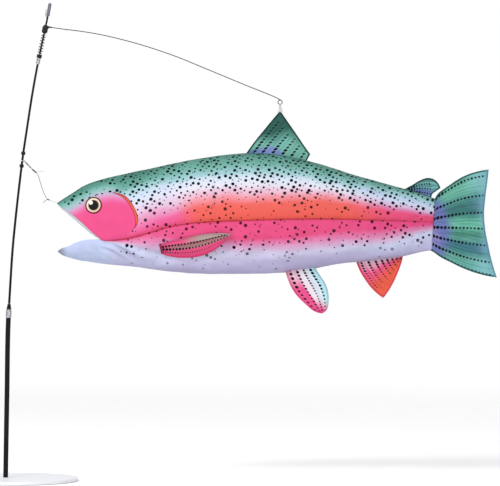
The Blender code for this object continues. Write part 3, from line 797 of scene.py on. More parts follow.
@dataclass(frozen=True)
class Plain(Look):
    """A plain woven tape or ribbon."""

    colour: Colour
    clear: float = 0.0
    pitch: float = 0.0005
    shade: float = 0.82

    def lay(self, tree: Tree) -> None:
        """Lays the weave over one colour that soft noise shades."""
        soft = tree.step(0.3, 0.7, tree.noise(tree.place(), 0.004, 2))
        Weave(pitch=self.pitch).lay(tree, tree.blend(darker(self.colour, self.shade), self.colour, soft))
        tree.feed(tree.shader["Transmission Weight"], self.clear)


@dataclass(frozen=True)
class FloorFinish(Look):
    """The pale floor: even in the middle and gone at its rim."""

    name: str = "pale_floor"
    colour: Colour = (0.86, 0.86, 0.87)
    shade: float = 0.985
    whole: float = 2.2
    rim: float = 4.5

    def lay(self, tree: Tree) -> None:
        """Lays the colour, with an alpha that falls smoothly with the distance from the middle."""
        far = tree.node("VectorMath", {0: tree.place()}, "Value", operation="LENGTH")
        soft = tree.noise(tree.place(), 0.35)
        tree.gloss(tree.blend(darker(self.colour, self.shade), self.colour, soft), 0.85, 0.0, 0.1)
        tree.feed(tree.shader["Alpha"], tree.below(self.whole, self.rim, far))


class Finish(Enum):
    """The finishes of the pieces."""

    BASE = Solid("pale_coated_steel", (0.62, 0.63, 0.66), 0.5, 0.0, 0.0012, 0.00006, shade=0.03)
    FIBREGLASS = Solid("black_fibreglass", (0.004, 0.004, 0.005), 0.42, 0.0, 0.0015, 0.00003, 20.0, 0.3, 0.1)
    SLEEVE = Solid("grey_sleeve", (0.3, 0.31, 0.33), 0.34, 1.0, 0.001, 0.00002, 8.0)
    PLASTIC = Solid("black_plastic", (0.006, 0.006, 0.007), 0.4, 0.0, 0.0008, 0.00004, specular=0.2)
    CAP = Solid("slate_sleeve", (0.085, 0.092, 0.115), 0.45, 0.0, 0.0008, 0.00003, 4.0)
    RUBBER = Solid("black_rubber", (0.008, 0.008, 0.009), 0.6, 0.0, 0.0008, 0.00006, specular=0.15)
    SPRING = Solid("dark_spring_steel", (0.06, 0.06, 0.065), 0.34, 0.9, 0.0006, 0.00001)
    WIRE = Solid("dark_spring_wire", (0.022, 0.022, 0.024), 0.36, 0.7, 0.0008, 0.00001)
    BRIGHT = Solid("bright_wire", (0.62, 0.62, 0.62), 0.26, 1.0, 0.0008, 0.00001)
    OLIVE = Solid("olive_barrel", (0.17, 0.165, 0.13), 0.36, 0.8, 0.0006, 0.00001)
    BLACK_CORD = Thread("black_cord", (0.018, 0.018, 0.02))
    GREY_LINE = Thread("grey_line", (0.05, 0.05, 0.055), 0.0005)
    PALE_CORD = Thread("pale_cord", (0.52, 0.52, 0.5))
    TAPE = Plain("white_tape", (0.72, 0.74, 0.78))
    RIBBON = Plain("white_ribbon", (0.86, 0.87, 0.9), 0.15)
    BODY = BodyPrint()
    INSIDE = Reverse()
    FIN = FinPrint()
    EYE = EyePrint()
    FLOOR = FloorFinish()

    def material(self) -> bpy.types.Material:
        """Gives this finish's material."""
        return self.value.material()


@dataclass(frozen=True)
class Cloth:
    """What a sheet is: its thickness in millimetres, the side that its grid is on, and its flat cut in metres."""

    thickness: float
    offset: float = 0.0
    flat: Pair | None = None
    held: str = "stretched"
    area: float | None = None


@dataclass(frozen=True)
class Part:
    """One piece of the model: its surfaces, its finish, and the nodes that it stands for."""

    name: str
    surfaces: Sequence[Surface]
    finish: Finish
    nodes: Sequence[str] = ()
    body: str = SWIVEL_BODY
    cloth: Cloth | None = None
    inside: Finish | None = None

    def make(self) -> bpy.types.Object:
        """Makes the piece, dresses it, and lets it ride on its body.

        Returns:
            The piece; a sheet of cloth has its real thickness.
        """
        piece = make_piece(self.name, self.surfaces)
        for finish in filter(None, (self.finish, self.inside)):
            piece.data.materials.append(finish.material())
        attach(piece, self.body)
        if self.nodes:
            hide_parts(*self.nodes)
        if self.cloth:
            wall = piece.modifiers.new("cloth", "SOLIDIFY")
            wall.thickness = self.cloth.thickness * MM
            wall.offset = self.cloth.offset
            wall.material_offset = len(piece.data.materials) - 1
        if self.cloth and self.cloth.flat:
            self.cloth.flat
        log.info("made %s", self.name)
        return piece


@dataclass
class Assembly:
    """A sub-assembly on one body: build() works out its parts, and dress() makes each one with its finish."""

    body: ClassVar[str] = SWIVEL_BODY
    parts: list[Part] = field(default_factory=list, init=False)

    def add(self, name: str, surfaces: Surface | list[Surface], finish: Finish, *nodes: str, **more: object) -> None:
        """Adds a part: its surfaces, its finish, the nodes that it stands for, and what it is if it is a sheet."""
        surfaces = surfaces if isinstance(surfaces, list) else [surfaces]
        self.parts.append(Part(name, surfaces, finish, nodes, self.body, **more))

    def dress(self) -> None:
        """Makes and finishes every part."""
        for part in self.parts:
            part.make()


# --- the fish's own lines, in millimetres from the tip of its nose ---


@dataclass(frozen=True)
class Shape:
    """The outline of the fish's cloth body, which the panels, fins and eyes all read."""

    nose: Triple = (0.0881, 0.0, 0.48)
    corner: float = 83.0
    end: float = 655.0
    crown: Pairs = (
        (0, 0), (24, 15.6), (52, 32.4), (84, 42.8), (114, 49.6), (155, 58.5), (198, 68), (245, 77), (290, 83.5),
        (332, 87), (380, 84.5), (431, 74.5), (470, 63.5), (508, 51), (560, 36.5), (600, 25.5), (655, 8.2),
    )
    keel: Pairs = (
        (1.6, -83.4), (10, -89.5), (24, -94.6), (70, -103.2), (139, -110.2), (186, -117), (232, -121),
        (316, -122.2), (393, -119.6), (440, -113.5), (490, -104.6), (551, -98.6), (597, -92), (624, -86),
        (655, -81.2),
    )
    seam: Pairs = (
        (83, -65.2), (128, -61), (163, -51.5), (197, -41.8), (232, -35.6), (279, -32.2), (331, -30.2),
        (490, -28), (560, -30), (655, -32.6),
    )
    upper_lip: Pairs = (
        (0, 0), (13.2, -9.4), (30.4, -21.3), (46.3, -34.5), (62.2, -49.1), (72.8, -57.8), (83, -65.2),
    )
    lower_lip: Pairs = (
        (1.6, -83.4), (6.9, -79.4), (20.8, -74.4), (34.6, -68), (44, -65), (58, -62.6), (72.8, -63),
        (83, -65.2),
    )
    half: Pairs = (
        (0, 0), (5, 10.5), (24, 24.5), (52, 37.5), (84, 48), (140, 57.5), (230, 64), (330, 66), (430, 60),
        (500, 49), (560, 35), (600, 23.5), (640, 9), (655, 1.5),
    )
    jaw_half: Pairs = ((1.6, 0), (7, 11), (26, 25), (52, 37.5), (84, 48))

    def world(self, x: Array, y: Array, z: Array) -> Array:
        """Turns the fish's own millimetres into places in metres."""
        x, y, z = np.broadcast_arrays(x, y, z)
        return np.array(self.nose) + np.stack([x, y, z], axis=-1) * MM

    def edge(self, x: Array, upper: bool) -> Array:
        """Gives z of a panel's edge: its lip before the mouth's corner, the seam after it."""
        lip = self.upper_lip if upper else self.lower_lip
        return np.where(x < self.corner, smooth(lip, x), smooth(self.seam, x))

    def half_width(self, x: Array, upper: bool) -> Array:
        """Gives half of a panel's width: the jaw's is its own before the mouth's corner."""
        half = smooth(self.half, x)
        return half if upper else np.where(x < self.corner, smooth(self.jaw_half, x), half)

    def flank(self, x: Array, z: Array) -> Array:
        """Gives the body's half width at a place on its side: an ellipse between crown, seam and keel."""
        edge = self.edge(x, True)
        reach = np.where(z > edge, smooth(self.crown, x) - edge, edge - smooth(self.keel, x))
        return smooth(self.half, x) * np.sqrt(np.clip(1 - ((z - edge) / reach) ** 2, 0, 1))


@dataclass(frozen=True)
class Fold:
    """A long soft crease in the cloth, seen from the side."""

    route: Pairs
    depth: float
    width: float

    @property
    def is_upper(self) -> bool:
        """Tells whether it lies in the upper panel."""
        return self.route[-1][1] > -32

    def at(self, x: Array, z: Array) -> Array:
        """Gives the fold's height: a hump of its depth about its line, which dies away at both ends."""
        reach, share = distance_to(np.stack([x, z], axis=-1), even_path(self.route, 60))
        taper = np.sin(pi * np.clip(share, 0.02, 0.98)) ** 0.6
        return -self.depth * taper * bell(reach, 0, self.width)


@dataclass(frozen=True)
class PanelGrid:
    """The places of one panel in millimetres.

    The share is 0 at the edge, whose z is kept too, and 1 at the crown or keel, from which the depth is measured.
    Over is the distance over the cloth from one edge towards the other.
    """

    is_upper: bool
    x: Array
    y: Array
    z: Array
    edge: Array
    share: Array
    depth: Array
    over: Array

    @property
    def length(self) -> Array:
        """Gives the cloth's length across each row."""
        return self.over[:, -1:]

    @property
    def from_edge(self) -> Array:
        """Gives the distance over the cloth from the nearer edge."""
        return np.minimum(self.over, self.length - self.over)

    @property
    def flat(self) -> Array:
        """Gives the places as one grid."""
        return np.stack([self.x, self.y, self.z], axis=2)


@dataclass(frozen=True)
class Stop:
    """One colour of the print's shading and how far from the seam it lies."""

    height: Pairs
    front: Colour
    middle: Colour
    rear: Colour

    def ink(self, warm: Array, late: Array) -> Array:
        """Gives its colour where the middle's share is warm and the rear's share is late."""
        return mix(mix(self.front, self.middle, warm), self.rear, late)


@dataclass(frozen=True)
class Bands:
    """The inks of the print: soft stops from the seam outwards, the face, the gill cover and the jaw."""

    above: Sequence[Stop] = (
        Stop(((83, 0.0), (655, 0.0)), (0.88, 0.085, 0.21), (0.9, 0.12, 0.095), (0.88, 0.09, 0.21)),
        Stop(((90, 0.02), (162, 0.12), (205, 0.16), (248, 0.22), (369, 0.24), (473, 0.3), (594, 0.23), (655, 0.2)),
             (0.88, 0.135, 0.36), (0.9, 0.15, 0.125), (0.88, 0.097, 0.24)),
        Stop(((90, 0.16), (162, 0.29), (205, 0.27), (248, 0.33), (369, 0.33), (473, 0.4), (594, 0.33), (655, 0.29)),
             (0.84, 0.37, 0.6), (0.91, 0.305, 0.36), (0.77, 0.22, 0.43)),
        Stop(((90, 0.26), (162, 0.39), (205, 0.36), (248, 0.44), (369, 0.41), (473, 0.485), (594, 0.44), (655, 0.38)),
             (0.8, 0.58, 0.77), (0.87, 0.53, 0.68), (0.74, 0.54, 0.78)),
        Stop(((90, 0.42), (162, 0.53), (248, 0.55), (369, 0.53), (473, 0.575), (594, 0.57), (655, 0.52)),
             (0.75, 0.76, 0.92), (0.82, 0.81, 0.93), (0.67, 0.72, 0.92)),
        Stop(((90, 0.55), (162, 0.64), (369, 0.63), (473, 0.66), (594, 0.68), (655, 0.64)),
             (0.62, 0.74, 0.9), (0.7, 0.8, 0.93), (0.53, 0.67, 0.86)),
        Stop(((90, 0.64), (162, 0.745), (205, 0.735), (309, 0.715), (369, 0.715), (473, 0.75), (594, 0.8),
              (655, 0.78)), (0.37, 0.64, 0.67), (0.37, 0.63, 0.67), (0.36, 0.61, 0.67)),
        Stop(((90, 0.72), (162, 0.84), (309, 0.84), (473, 0.87), (594, 0.92), (655, 0.92)),
             (0.155, 0.41, 0.35), (0.175, 0.44, 0.375), (0.185, 0.42, 0.375)),
        Stop(((83, 1.0), (655, 1.0)), (0.065, 0.205, 0.165), (0.1, 0.27, 0.23), (0.105, 0.26, 0.235)),
    )
    under: Sequence[Stop] = (
        Stop(((83, 0.0), (110, 0.005), (162, 0.02), (205, 0.24), (309, 0.32), (369, 0.34), (473, 0.26), (594, 0.17),
              (655, 0.06)), (0.87, 0.11, 0.29), (0.88, 0.095, 0.26), (0.87, 0.09, 0.27)),
        Stop(((83, 0.015), (110, 0.05), (162, 0.22), (205, 0.34), (309, 0.41), (369, 0.42), (473, 0.4), (594, 0.345),
              (655, 0.16)), (0.86, 0.26, 0.5), (0.86, 0.24, 0.48), (0.78, 0.27, 0.5)),
        Stop(((83, 0.03), (110, 0.09), (162, 0.39), (205, 0.45), (309, 0.51), (473, 0.52), (594, 0.45), (655, 0.24)),
             (0.74, 0.47, 0.7), (0.76, 0.46, 0.7), (0.74, 0.49, 0.72)),
        Stop(((83, 0.06), (110, 0.16), (162, 0.56), (309, 0.63), (473, 0.64), (594, 0.57), (655, 0.34)),
             (0.68, 0.71, 0.95), (0.72, 0.69, 0.92), (0.66, 0.7, 0.93)),
        # The last two stops darken the belly towards the keel: painted shade under the belly.
        Stop(((83, 0.85), (655, 0.85)), (0.66, 0.66, 0.93), (0.6, 0.56, 0.84), (0.6, 0.58, 0.85)),
        Stop(((83, 1.0), (655, 1.0)), (0.52, 0.5, 0.74), (0.5, 0.44, 0.66), (0.5, 0.45, 0.66)),
    )
    face: Sequence[tuple[float, Colour]] = (
        (-17, (0.86, 0.115, 0.33)), (-11, (0.83, 0.19, 0.42)), (-6, (0.74, 0.32, 0.54)), (-1, (0.57, 0.46, 0.64)),
        (3, (0.42, 0.54, 0.6)), (8, (0.29, 0.54, 0.53)), (13, (0.19, 0.47, 0.4)), (19, (0.105, 0.31, 0.25)),
    )
    face_start: float = -23
    head_line: Pairs = (
        (0, -21), (10, -16), (24, -12), (40, -3), (60, 8.5), (80, 16), (100, 18), (118, 16),
    )
    gill: Pairs = (
        (97, 18.4), (106, 16.6), (116.3, 12.3), (125.4, 4), (131, -3.5), (134.9, -10.9), (139.3, -22),
        (140.8, -32.4), (139.3, -38.6), (133.2, -45.7),
    )
    gill_half: float = 2.0
    cheek: Colour = (0.88, 0.095, 0.28)
    # greyer pink towards the nose: painted shade on the front of the face
    snout: Colour = (0.62, 0.27, 0.45)
    crown_line: Colour = (0.06, 0.19, 0.165)
    jaw: Colour = (0.6, 0.68, 0.95)
    # grey painted shade at the tip of the lower jaw
    jaw_tip: Colour = (0.3, 0.31, 0.38)
    # dark red painted shade for the fold along the seam
    seam: Colour = (0.6, 0.03, 0.06)

    def cheek_share(self, x: Array, z: Array) -> Array:
        """Gives 1 on the gill cover and the face, and 0 behind the gill cover's edge."""
        arc = np.array(self.gill)[::-1]
        edge = np.interp(z, [-66, -56, *arc[:, 1]], [112, 124, *arc[:, 0]])
        return fall(-1.2, 1.2, x - edge)

    def gill_marks(self, x: Array, z: Array) -> dict[str, Array]:
        """Gives what the finish reads of the gill cover's edge.

        Args:
            x: places along the body.
            z: their heights.

        Returns:
            The distance from the edge, its band's half width, which dies away at both ends, and where the dark
            line beside it shows.
        """
        reach, share = distance_to(np.stack([x, z], axis=-1), even_path(self.gill, 240))
        half = self.gill_half * (0.3 * rise(0.0, 0.05, share) + 0.7 * rise(0.0, 0.36, share))
        half = half * fall(0.76, 0.96, share)
        shown = rise(0.0, 0.03, share) * fall(0.985, 1.0, share)
        return {"gill": reach * MM, "gill_half": half * MM, "gill_line": shown}

    def shade(self, stops: Sequence[Stop], x: Array, share: Array) -> Array:
        """Colours a panel: between two stops the ink changes smoothly with the share.

        Args:
            stops: the stops in order from the seam.
            x: places along the body.
            share: how far each place lies from the seam towards the crown or the keel.

        Returns:
            The ink at each place.
        """
        warm = rise(200, 250, x + 50 * (share - 0.15))
        late = rise(500, 600, x + 50 * share)
        ink = stops[0].ink(warm, late)
        for low, high in zip(stops, stops[1:], strict=False):
            start, end = smooth(low.height, x), smooth(high.height, x)
            ink = mix(ink, high.ink(warm, late), rise(0, 1, 0.5 + 0.8 * ((share - start) / (end - start) - 0.5)))
        return ink

    def upper(self, at: PanelGrid) -> Array:
        """Colours the upper panel: the stops behind the gill cover, and the face in front of it, which greys towards
        the nose as painted shade.
        """
        ink = self.shade(self.above, at.x, at.share + 0.012 * Ripples(70, 5).at(at.x, at.z))
        above = at.z - smooth(self.head_line, at.x)
        # the face greys towards the nose: painted shade
        face = mix(self.snout, self.cheek, rise(-8, 46, at.x + 0.3 * at.z))
        for (low, _), (high, colour) in zip(((self.face_start, self.cheek), *self.face), self.face, strict=False):
            face = mix(face, colour, np.clip((above - low) / (high - low), 0, 1))
        return layered(
            ink,
            (face, np.where(above > 0, fall(92, 124, at.x), self.cheek_share(at.x, at.z))),
            (self.crown_line, 0.85 * fall(1.6, 4.2, at.depth) * fall(66, 110, at.x)),
        )

    def lower(self, at: PanelGrid) -> Array:
        """Colours the lower panel: its stops, which darken towards the keel as painted shade under the belly, and the
        pale jaw with a painted grey shade at its tip in front of them.
        """
        ink = self.shade(self.under, at.x, at.share + 0.014 * Ripples(80, 8).at(at.x, at.z))
        return layered(ink, (self.jaw, fall(78, 112, at.x)), (self.jaw_tip, fall(4, 22, at.x)))


class Side(Enum):
    """The fish's two sides, by the sign of their y."""

    NEAR = -1
    FAR = 1

    @property
    def word(self) -> str:
        """Gives the side's name as the nodes have it."""
        return self.name.lower()


SHAPE = Shape()
BANDS = Bands()
EYE_PLACE = (65.6, -3.7)


# --- sub-assemblies ---


@dataclass(frozen=True)
class Swell:
    """Waves of one kind over the body's cloth: the first seed and height are the upper panel's."""

    length: float
    seeds: tuple[int, int]
    heights: Pair
    count: int
    squeeze: float = 1.0

    def at(self, upper: bool, u: Array, v: Array) -> Array:
        """Gives the waves' height in millimetres on one of the panels."""
        which = 0 if upper else 1
        return self.heights[which] * Ripples(self.length, self.seeds[which], self.count, self.squeeze).at(u, v)


@dataclass
class ClothBody(Assembly):
    """The windsock's body: an upper and a lower panel, sewn together along each flank and open at the jaws."""

    columns: int = 97
    crowding: float = 0.0495
    lean: float = 0.062
    cloth: float = 0.6
    tuck: float = 1.5
    tuck_width: float = 4.2
    bulge: float = 0.96
    bulge_reach: float = 16.0
    far_shift: float = 17.0
    gather: Swell = Swell(15, (11, 12), (0.75, 0.75), 6)
    gather_reach: float = 13.0
    broad: Swell = Swell(105, (31, 32), (1.5, 2.25), 8, 1.4)
    small: Swell = Swell(34, (51, 52), (0.35, 0.7), 9, 1.2)
    no_gill: float = -200.0
    crease_width: float = 1.5
    shadow_width: float = 6.0
    shadow: float = 0.12
    folds: Sequence[Fold] = (
        Fold(((86, -69), (100, -73), (118, -83), (140, -98), (158, -106)), 6.5, 4.2),
        Fold(((78, -78), (95, -84), (112, -95), (130, -106)), 5.0, 3.6),
        Fold(((98, -69), (120, -75), (146, -86), (176, -99)), -4.0, 5.0),
        Fold(((120, -72), (150, -82), (184, -90), (214, -97)), 3.0, 4.5),
        Fold(((60, -72), (70, -84), (76, -97), (79, -104)), 1.6, 4.5),
        Fold(((84, 34), (82.5, 2), (81.5, -28), (83, -58)), 1.3, 3.2),
        Fold(((272, 62), (275, 38), (277, 12), (276, -14), (279, -30)), 2.6, 2.2),
        Fold(((286, 50), (285, 20), (287, -10)), -1.4, 4.5),
        Fold(((330, -34), (352, -44), (380, -50)), 1.6, 4.5),
        Fold(((420, -32), (436, -44), (444, -66)), 1.5, 5.5),
        Fold(((512, -31), (524, -44), (530, -62), (528, -84)), 2.0, 5.5),
        Fold(((556, -31), (570, -42), (592, -50)), 1.6, 4.0),
        Fold(((540, 30), (565, 14), (600, 2), (635, -8)), 1.4, 5.0),
        Fold(((612, -34), (630, -44), (648, -58)), 1.6, 4.0),
        Fold(((610, -30), (628, -22), (650, -10)), 1.2, 3.6),
        Fold(((196, -44), (215, -58), (250, -70), (300, -80)), 1.8, 7.0),
        Fold(((150, -92), (200, -106), (262, -112), (320, -108)), -2.6, 6.0),
        Fold(((180, -112), (240, -118), (310, -118)), 2.0, 4.0),
        Fold(((330, -100), (380, -96), (430, -88), (480, -74)), -2.0, 7.0),
        Fold(((372, 82), (382, 60), (388, 30)), 1.2, 5.0),
        Fold(((430, 72), (436, 48), (434, 18)), 1.5, 5.0),
    )

    def rows(self, start: float) -> Array:
        """Places rows along the body: closer together at the jaw's tip and at the tail."""
        jaw = start + (SHAPE.corner - start) * np.linspace(0, 1, 46) ** 1.7
        cheek = np.linspace(SHAPE.corner, 150, 30)[1:]
        trunk = np.linspace(150, SHAPE.end, 176)[1:]
        return np.concatenate([jaw, cheek, trunk])

    def grid(self, upper: bool) -> PanelGrid:
        """Spans one panel.

        A row is half an ellipse from edge to edge over the crown or the keel: y is half the width times cos a
        and z is the edge plus the rise times sin a.

        Args:
            upper: whether it is the upper panel.

        Returns:
            The smooth panel, without its folds and waves.
        """
        x = self.rows(0.0 if upper else SHAPE.lower_lip[0][0])
        edge = SHAPE.edge(x, upper)[:, None]
        top = smooth(SHAPE.crown if upper else SHAPE.keel, x)[:, None]
        even = np.linspace(0, 1, self.columns)
        angle = pi * (even - self.crowding * np.sin(tau * even))
        y = -np.outer(SHAPE.half_width(x, upper), np.cos(angle)) * (1 if upper else -1)
        z = edge + (top - edge) * np.sin(angle)
        x = x[:, None] + 0 * y
        return PanelGrid(upper, x, y, z, edge, np.sin(angle) + 0 * x, top - z, walked(np.stack([x, y, z], axis=2), 1))

    def panel(self, upper: bool) -> Surface:
        """Makes one panel: its cloth moves along its normal by the relief, and leans back towards the tail."""
        at = self.grid(upper)
        x, y, z = np.moveaxis(at.flat + normals_of(at.flat) * self.relief(at)[..., None], 2, 0)
        places = SHAPE.world(x + self.lean * (at.z - 8) * rise(600, SHAPE.end, at.x), y, z)
        gill_z = at.z if upper else at.z * 0 + self.no_gill
        marks = self.spot_marks(at) | BANDS.gill_marks(at.x, gill_z) | {"ink": self.inks(at)}
        chart = np.stack([at.x, at.edge + (at.from_edge if upper else -at.from_edge)], axis=2) * MM
        return Surface(places, marks=marks, chart=chart)

    def inks(self, at: PanelGrid) -> Array:
        """Colours one panel, with painted dark red shade in the fold along its seam and a painted soft shadow beside
        it.
        """
        x = at.x
        sewn = rise(SHAPE.corner - 4, SHAPE.corner + 4, x)
        # painted shade: dark red in the fold along the seam, and a painted soft shadow beside it
        seam_shade = bell(at.from_edge, 0, self.crease_width) * sewn * (1 - 0.5 * rise(500, 655, x))
        shadow = bell(at.from_edge, 0, self.shadow_width) * sewn
        ink = BANDS.upper(at) if at.is_upper else BANDS.lower(at)
        ink = mix(ink, BANDS.seam, seam_shade * (0.58 + 0.22 * Ripples(34, 4).at(x, 0 * x)))
        return ink * (1 - self.shadow * shadow * (0.5 + 0.5 * Ripples(16, 3).at(x, 0 * x)))[..., None]

    def relief(self, at: PanelGrid) -> Array:
        """Sums what moves the cloth outwards: the seam's tuck and the bulge and gathers beside it, broad and
        small waves, and the folds. All but the tuck are small at the edges, the eye and the crown.

        Args:
            at: the panel's places.

        Returns:
            The height at each place in millimetres.
        """
        x, off, upper = at.x, at.from_edge, at.is_upper
        side = np.sign(at.y) * self.far_shift
        sewn = rise(SHAPE.corner - 2, SHAPE.corner + 14, x)
        ends = rise(4, 50, x) * fall(628, 652, x)
        tuck = -self.tuck * bell(off, 0, self.tuck_width) * sewn * fall(625, 652, x)
        bulge = self.bulge * (off / self.bulge_reach) * np.exp(1 - off / self.bulge_reach) * sewn * ends
        slow = 0.5 + 0.5 * Ripples(150, 21).at(x + 2 * side, 0 * x)
        gather = self.gather.at(upper, x + side, 0.18 * off) * slow * sewn
        gather = gather * np.exp(-off / self.gather_reach) * np.clip(off / 3, 0, 1)
        waves = self.broad.at(upper, x + side, off) + self.small.at(upper, x + side, off)
        waves = waves * rise(6, 34, off) * rise(20, 60, at.length)
        folds = sum(fold.at(x + 0.12 * side * (at.y > 0), at.z) for fold in self.folds if fold.is_upper == upper)
        moved = ends * (waves + gather + folds * np.clip(off / 5, 0, 1) * rise(8, 30, x)) + bulge
        eye = rise(15, 30, np.hypot(x - EYE_PLACE[0], at.z - EYE_PLACE[1]))
        return moved * eye * (0.2 + 0.8 * rise(4, 26, at.length / 2 - off)) + tuck

    def spot_marks(self, at: PanelGrid) -> dict[str, Array]:
        """Spreads the spots: many in the green and the white, fewer in the pink, and few on the belly.

        Args:
            at: the panel's places.

        Returns:
            How many spots there are at each place, and how black their ink is.
        """
        if not at.is_upper:
            many = 0.36 * fall(0.45, 0.86, at.share) + 0.18
            many = many * rise(92, 135, at.x) * fall(0.9, 0.98, at.share)
            return {"spots": many, "spot_ink": 1 - 0.45 * rise(0.5, 0.8, at.share)}
        line = smooth(BANDS.head_line, at.x)
        many = 0.4 + 0.56 * rise(0.28, 0.46, at.share)
        many = many * (1 - np.where(at.z > line, 0, BANDS.cheek_share(at.x, at.z)))
        many = many * (1 - 0.5 * fall(70, 125, at.x) * rise(line - 3, line + 4, at.z)) * rise(8, 26, at.x)
        return {"spots": many, "spot_ink": np.ones_like(many)}

    def build(self) -> None:
        """Makes both panels as one sheet, printed outside and plain inside."""
        self.add(
            "cloth_body", [self.panel(True), self.panel(False)], Finish.BODY,
            "head", "lower_jaw", "back_panel", "belly_panel", "tail_stalk",
            cloth=Cloth(self.cloth, -1, (0.46, 0.655), area=0.28), inside=Finish.INSIDE,
        )


@dataclass
class MouthBinding(Assembly):
    """The plain tape sewn inside the upper lip on both sides."""

    width: float = 6.0
    cloth: float = 0.5
    ends: Pair = (0.05, 0.985)

    def strip(self, side: int) -> Surface:
        """Makes one side's tape: it runs along the lip and hangs inwards from it, widest in the middle.

        Args:
            side: the sign of the side's y.

        Returns:
            The tape.
        """
        share = np.linspace(*self.ends, 60)
        x = share * SHAPE.corner
        z = smooth(SHAPE.upper_lip, x)
        y = smooth(SHAPE.half, x)
        wide = self.width * np.sin(pi * share) ** 0.7 + 0.8
        across = np.linspace(0, 1, 7)
        down = unit(np.array([SHAPE.upper_lip[-1][1], -SHAPE.corner]))
        reach = wide[:, None] * across
        inwards = 1.4 + 0.45 * reach + 0.25 * np.sin(x / 5)[:, None] * across
        hang = 0.8 * reach - 1.0
        out = SHAPE.world(x[:, None] + down[0] * hang, side * (y[:, None] - inwards), z[:, None] + down[1] * hang)
        chart = np.stack(np.broadcast_arrays(x[:, None], reach), axis=2) * MM
        order = np.s_[:, ::-side]
        return Surface(out[order], chart=chart[order])

    def build(self) -> None:
        """Makes both tapes as one piece."""
        cloth = Cloth(self.cloth, 0, (0.012, 0.1), area=0.00113)
        self.add("mouth_binding", [self.strip(side.value) for side in Side], Finish.TAPE, cloth=cloth)


@dataclass
class Eye(Assembly):
    """One printed eye: a disc of cloth stuck to the cheek."""

    side: Side
    centre: Pair = EYE_PLACE
    radius: float = 14.4
    proud: float = 1.15
    sunk: float = 0.9
    glint: Pair = (-0.33, 0.31)
    cloth: float = 0.6

    def build(self) -> None:
        """Makes the disc: rings about its middle, each point laid on the cheek, with its edge turned down."""
        share = np.concatenate([np.linspace(0.02, 0.97, 22), [1.0]])
        angle = np.linspace(0, tau, 72, endpoint=False)
        out, up = np.outer(share, np.cos(angle)), np.outer(share, np.sin(angle))
        x, z = self.centre[0] + self.radius * out, self.centre[1] + self.radius * up
        y = self.side.value * (SHAPE.flank(x, z) + self.proud - self.sunk * (share > 0.98)[:, None])
        marks = {
            "radius": share[:, None] + 0 * out,
            "glint": np.hypot(out - self.glint[0], up - self.glint[1]),
            "low": rise(-0.9, 0.9, 0.6 * out - 0.8 * up),
        }
        order = np.s_[:, ::-self.side.value]
        marks = {mark: value[order] for mark, value in marks.items()}
        chart = np.stack([x, z], axis=2)[order] * MM
        disc = Surface(SHAPE.world(x, y, z)[order], ring=True, marks=marks, chart=chart)
        word = self.side.word
        self.add(f"{word}_eye_print", disc, Finish.EYE, f"eye_{word}", cloth=Cloth(self.cloth, -1))


def even_ink(colour: Colour) -> Paint:
    """Makes an ink that is the same everywhere."""
    return lambda s, u: np.ones((*s.shape, 3)) * np.array(colour)


def hem_of(paint: Paint, share: float = 0.86) -> Paint:
    """Makes the ink of a folded edge that is a little darker than the fin."""
    return lambda s, u: paint(s, u) * share


def shaded(ink: Array, less: Array) -> Array:
    """Takes a share away from an ink."""
    return ink * (1 - less)[..., None]


def dorsal_ink(s: Array, u: Array) -> Array:
    """Colours the dorsal fin: blue violet at its root, mint behind, and dark green at the front and the tip."""
    front = fall(0.04, 0.4, s) * rise(0.22, 0.6, u)
    ink = layered(
        (0.21, 0.54, 0.45),
        ((0.15, 0.42, 0.36), rise(0.25, 0.5, u) * fall(0.3, 0.6, s)),
        ((0.038, 0.135, 0.115), np.clip(rise(0.3, 0.86, u * (1 - 0.6 * s)) + 0.85 * front, 0, 1)),
        ((0.24, 0.6, 0.51), 0.8 * bell(s, 0.5, 0.13) * bell(u, 0.5, 0.24)),
    )
    start = 0.06 + 0.2 * bell(s, 0.38, 0.22) * fall(0.5, 0.66, s)
    violet = 0.94 * fall(start - 0.05, start + 0.07, u) * fall(0.54, 0.68, s)
    root = mix((0.11, 0.19, 0.42), (0.24, 0.31, 0.68), rise(0.06, 0.24, s))
    return mix(shaded(ink, 0.2 * streaks(s * 19 + 0.4 * np.sin(7 * u), 2)), root, violet)


def adipose_ink(s: Array, u: Array) -> Array:
    """Colours the adipose fin: teal streaks over violet at its root, and dark green along its edge."""
    return layered(
        (0.1, 0.3, 0.29),
        ((0.2, 0.5, 0.47), streaks(s * 3.4 + 0.15) * rise(0.2, 0.55, u)),
        ((0.06, 0.17, 0.15), 0.8 * fall(0.0, 0.3, s)),
        ((0.13, 0.17, 0.46), 0.85 * rise(0.35, 0.72, s) * fall(0.55, 0.85, u)),
    )


def anal_ink(s: Array, u: Array) -> Array:
    """Colours the anal fin: near white streaks at its root, hot pink, then orange to its tip and rear edge."""
    ray = streaks(8.2 * (s - 0.04), 2)
    pale = fall(0.06, 0.34 + 0.12 * bell(s, 0.25, 0.2), u + 0.1 * ray) * rise(0.0, 0.1, s)
    late = rise(0.24, 0.74, u + 0.12 * rise(0.2, 0.9, s) + 0.1 * (ray - 0.5))
    ink = layered((0.94, 0.105, 0.3), ((0.95, 0.66, 0.8), 0.9 * pale), ((0.93, 0.135, 0.08), late))
    return shaded(ink, 0.14 * streaks(24 * s, 3) + 0.28 * ray**6 * rise(0.2, 0.4, u) * fall(0.75, 0.95, u))


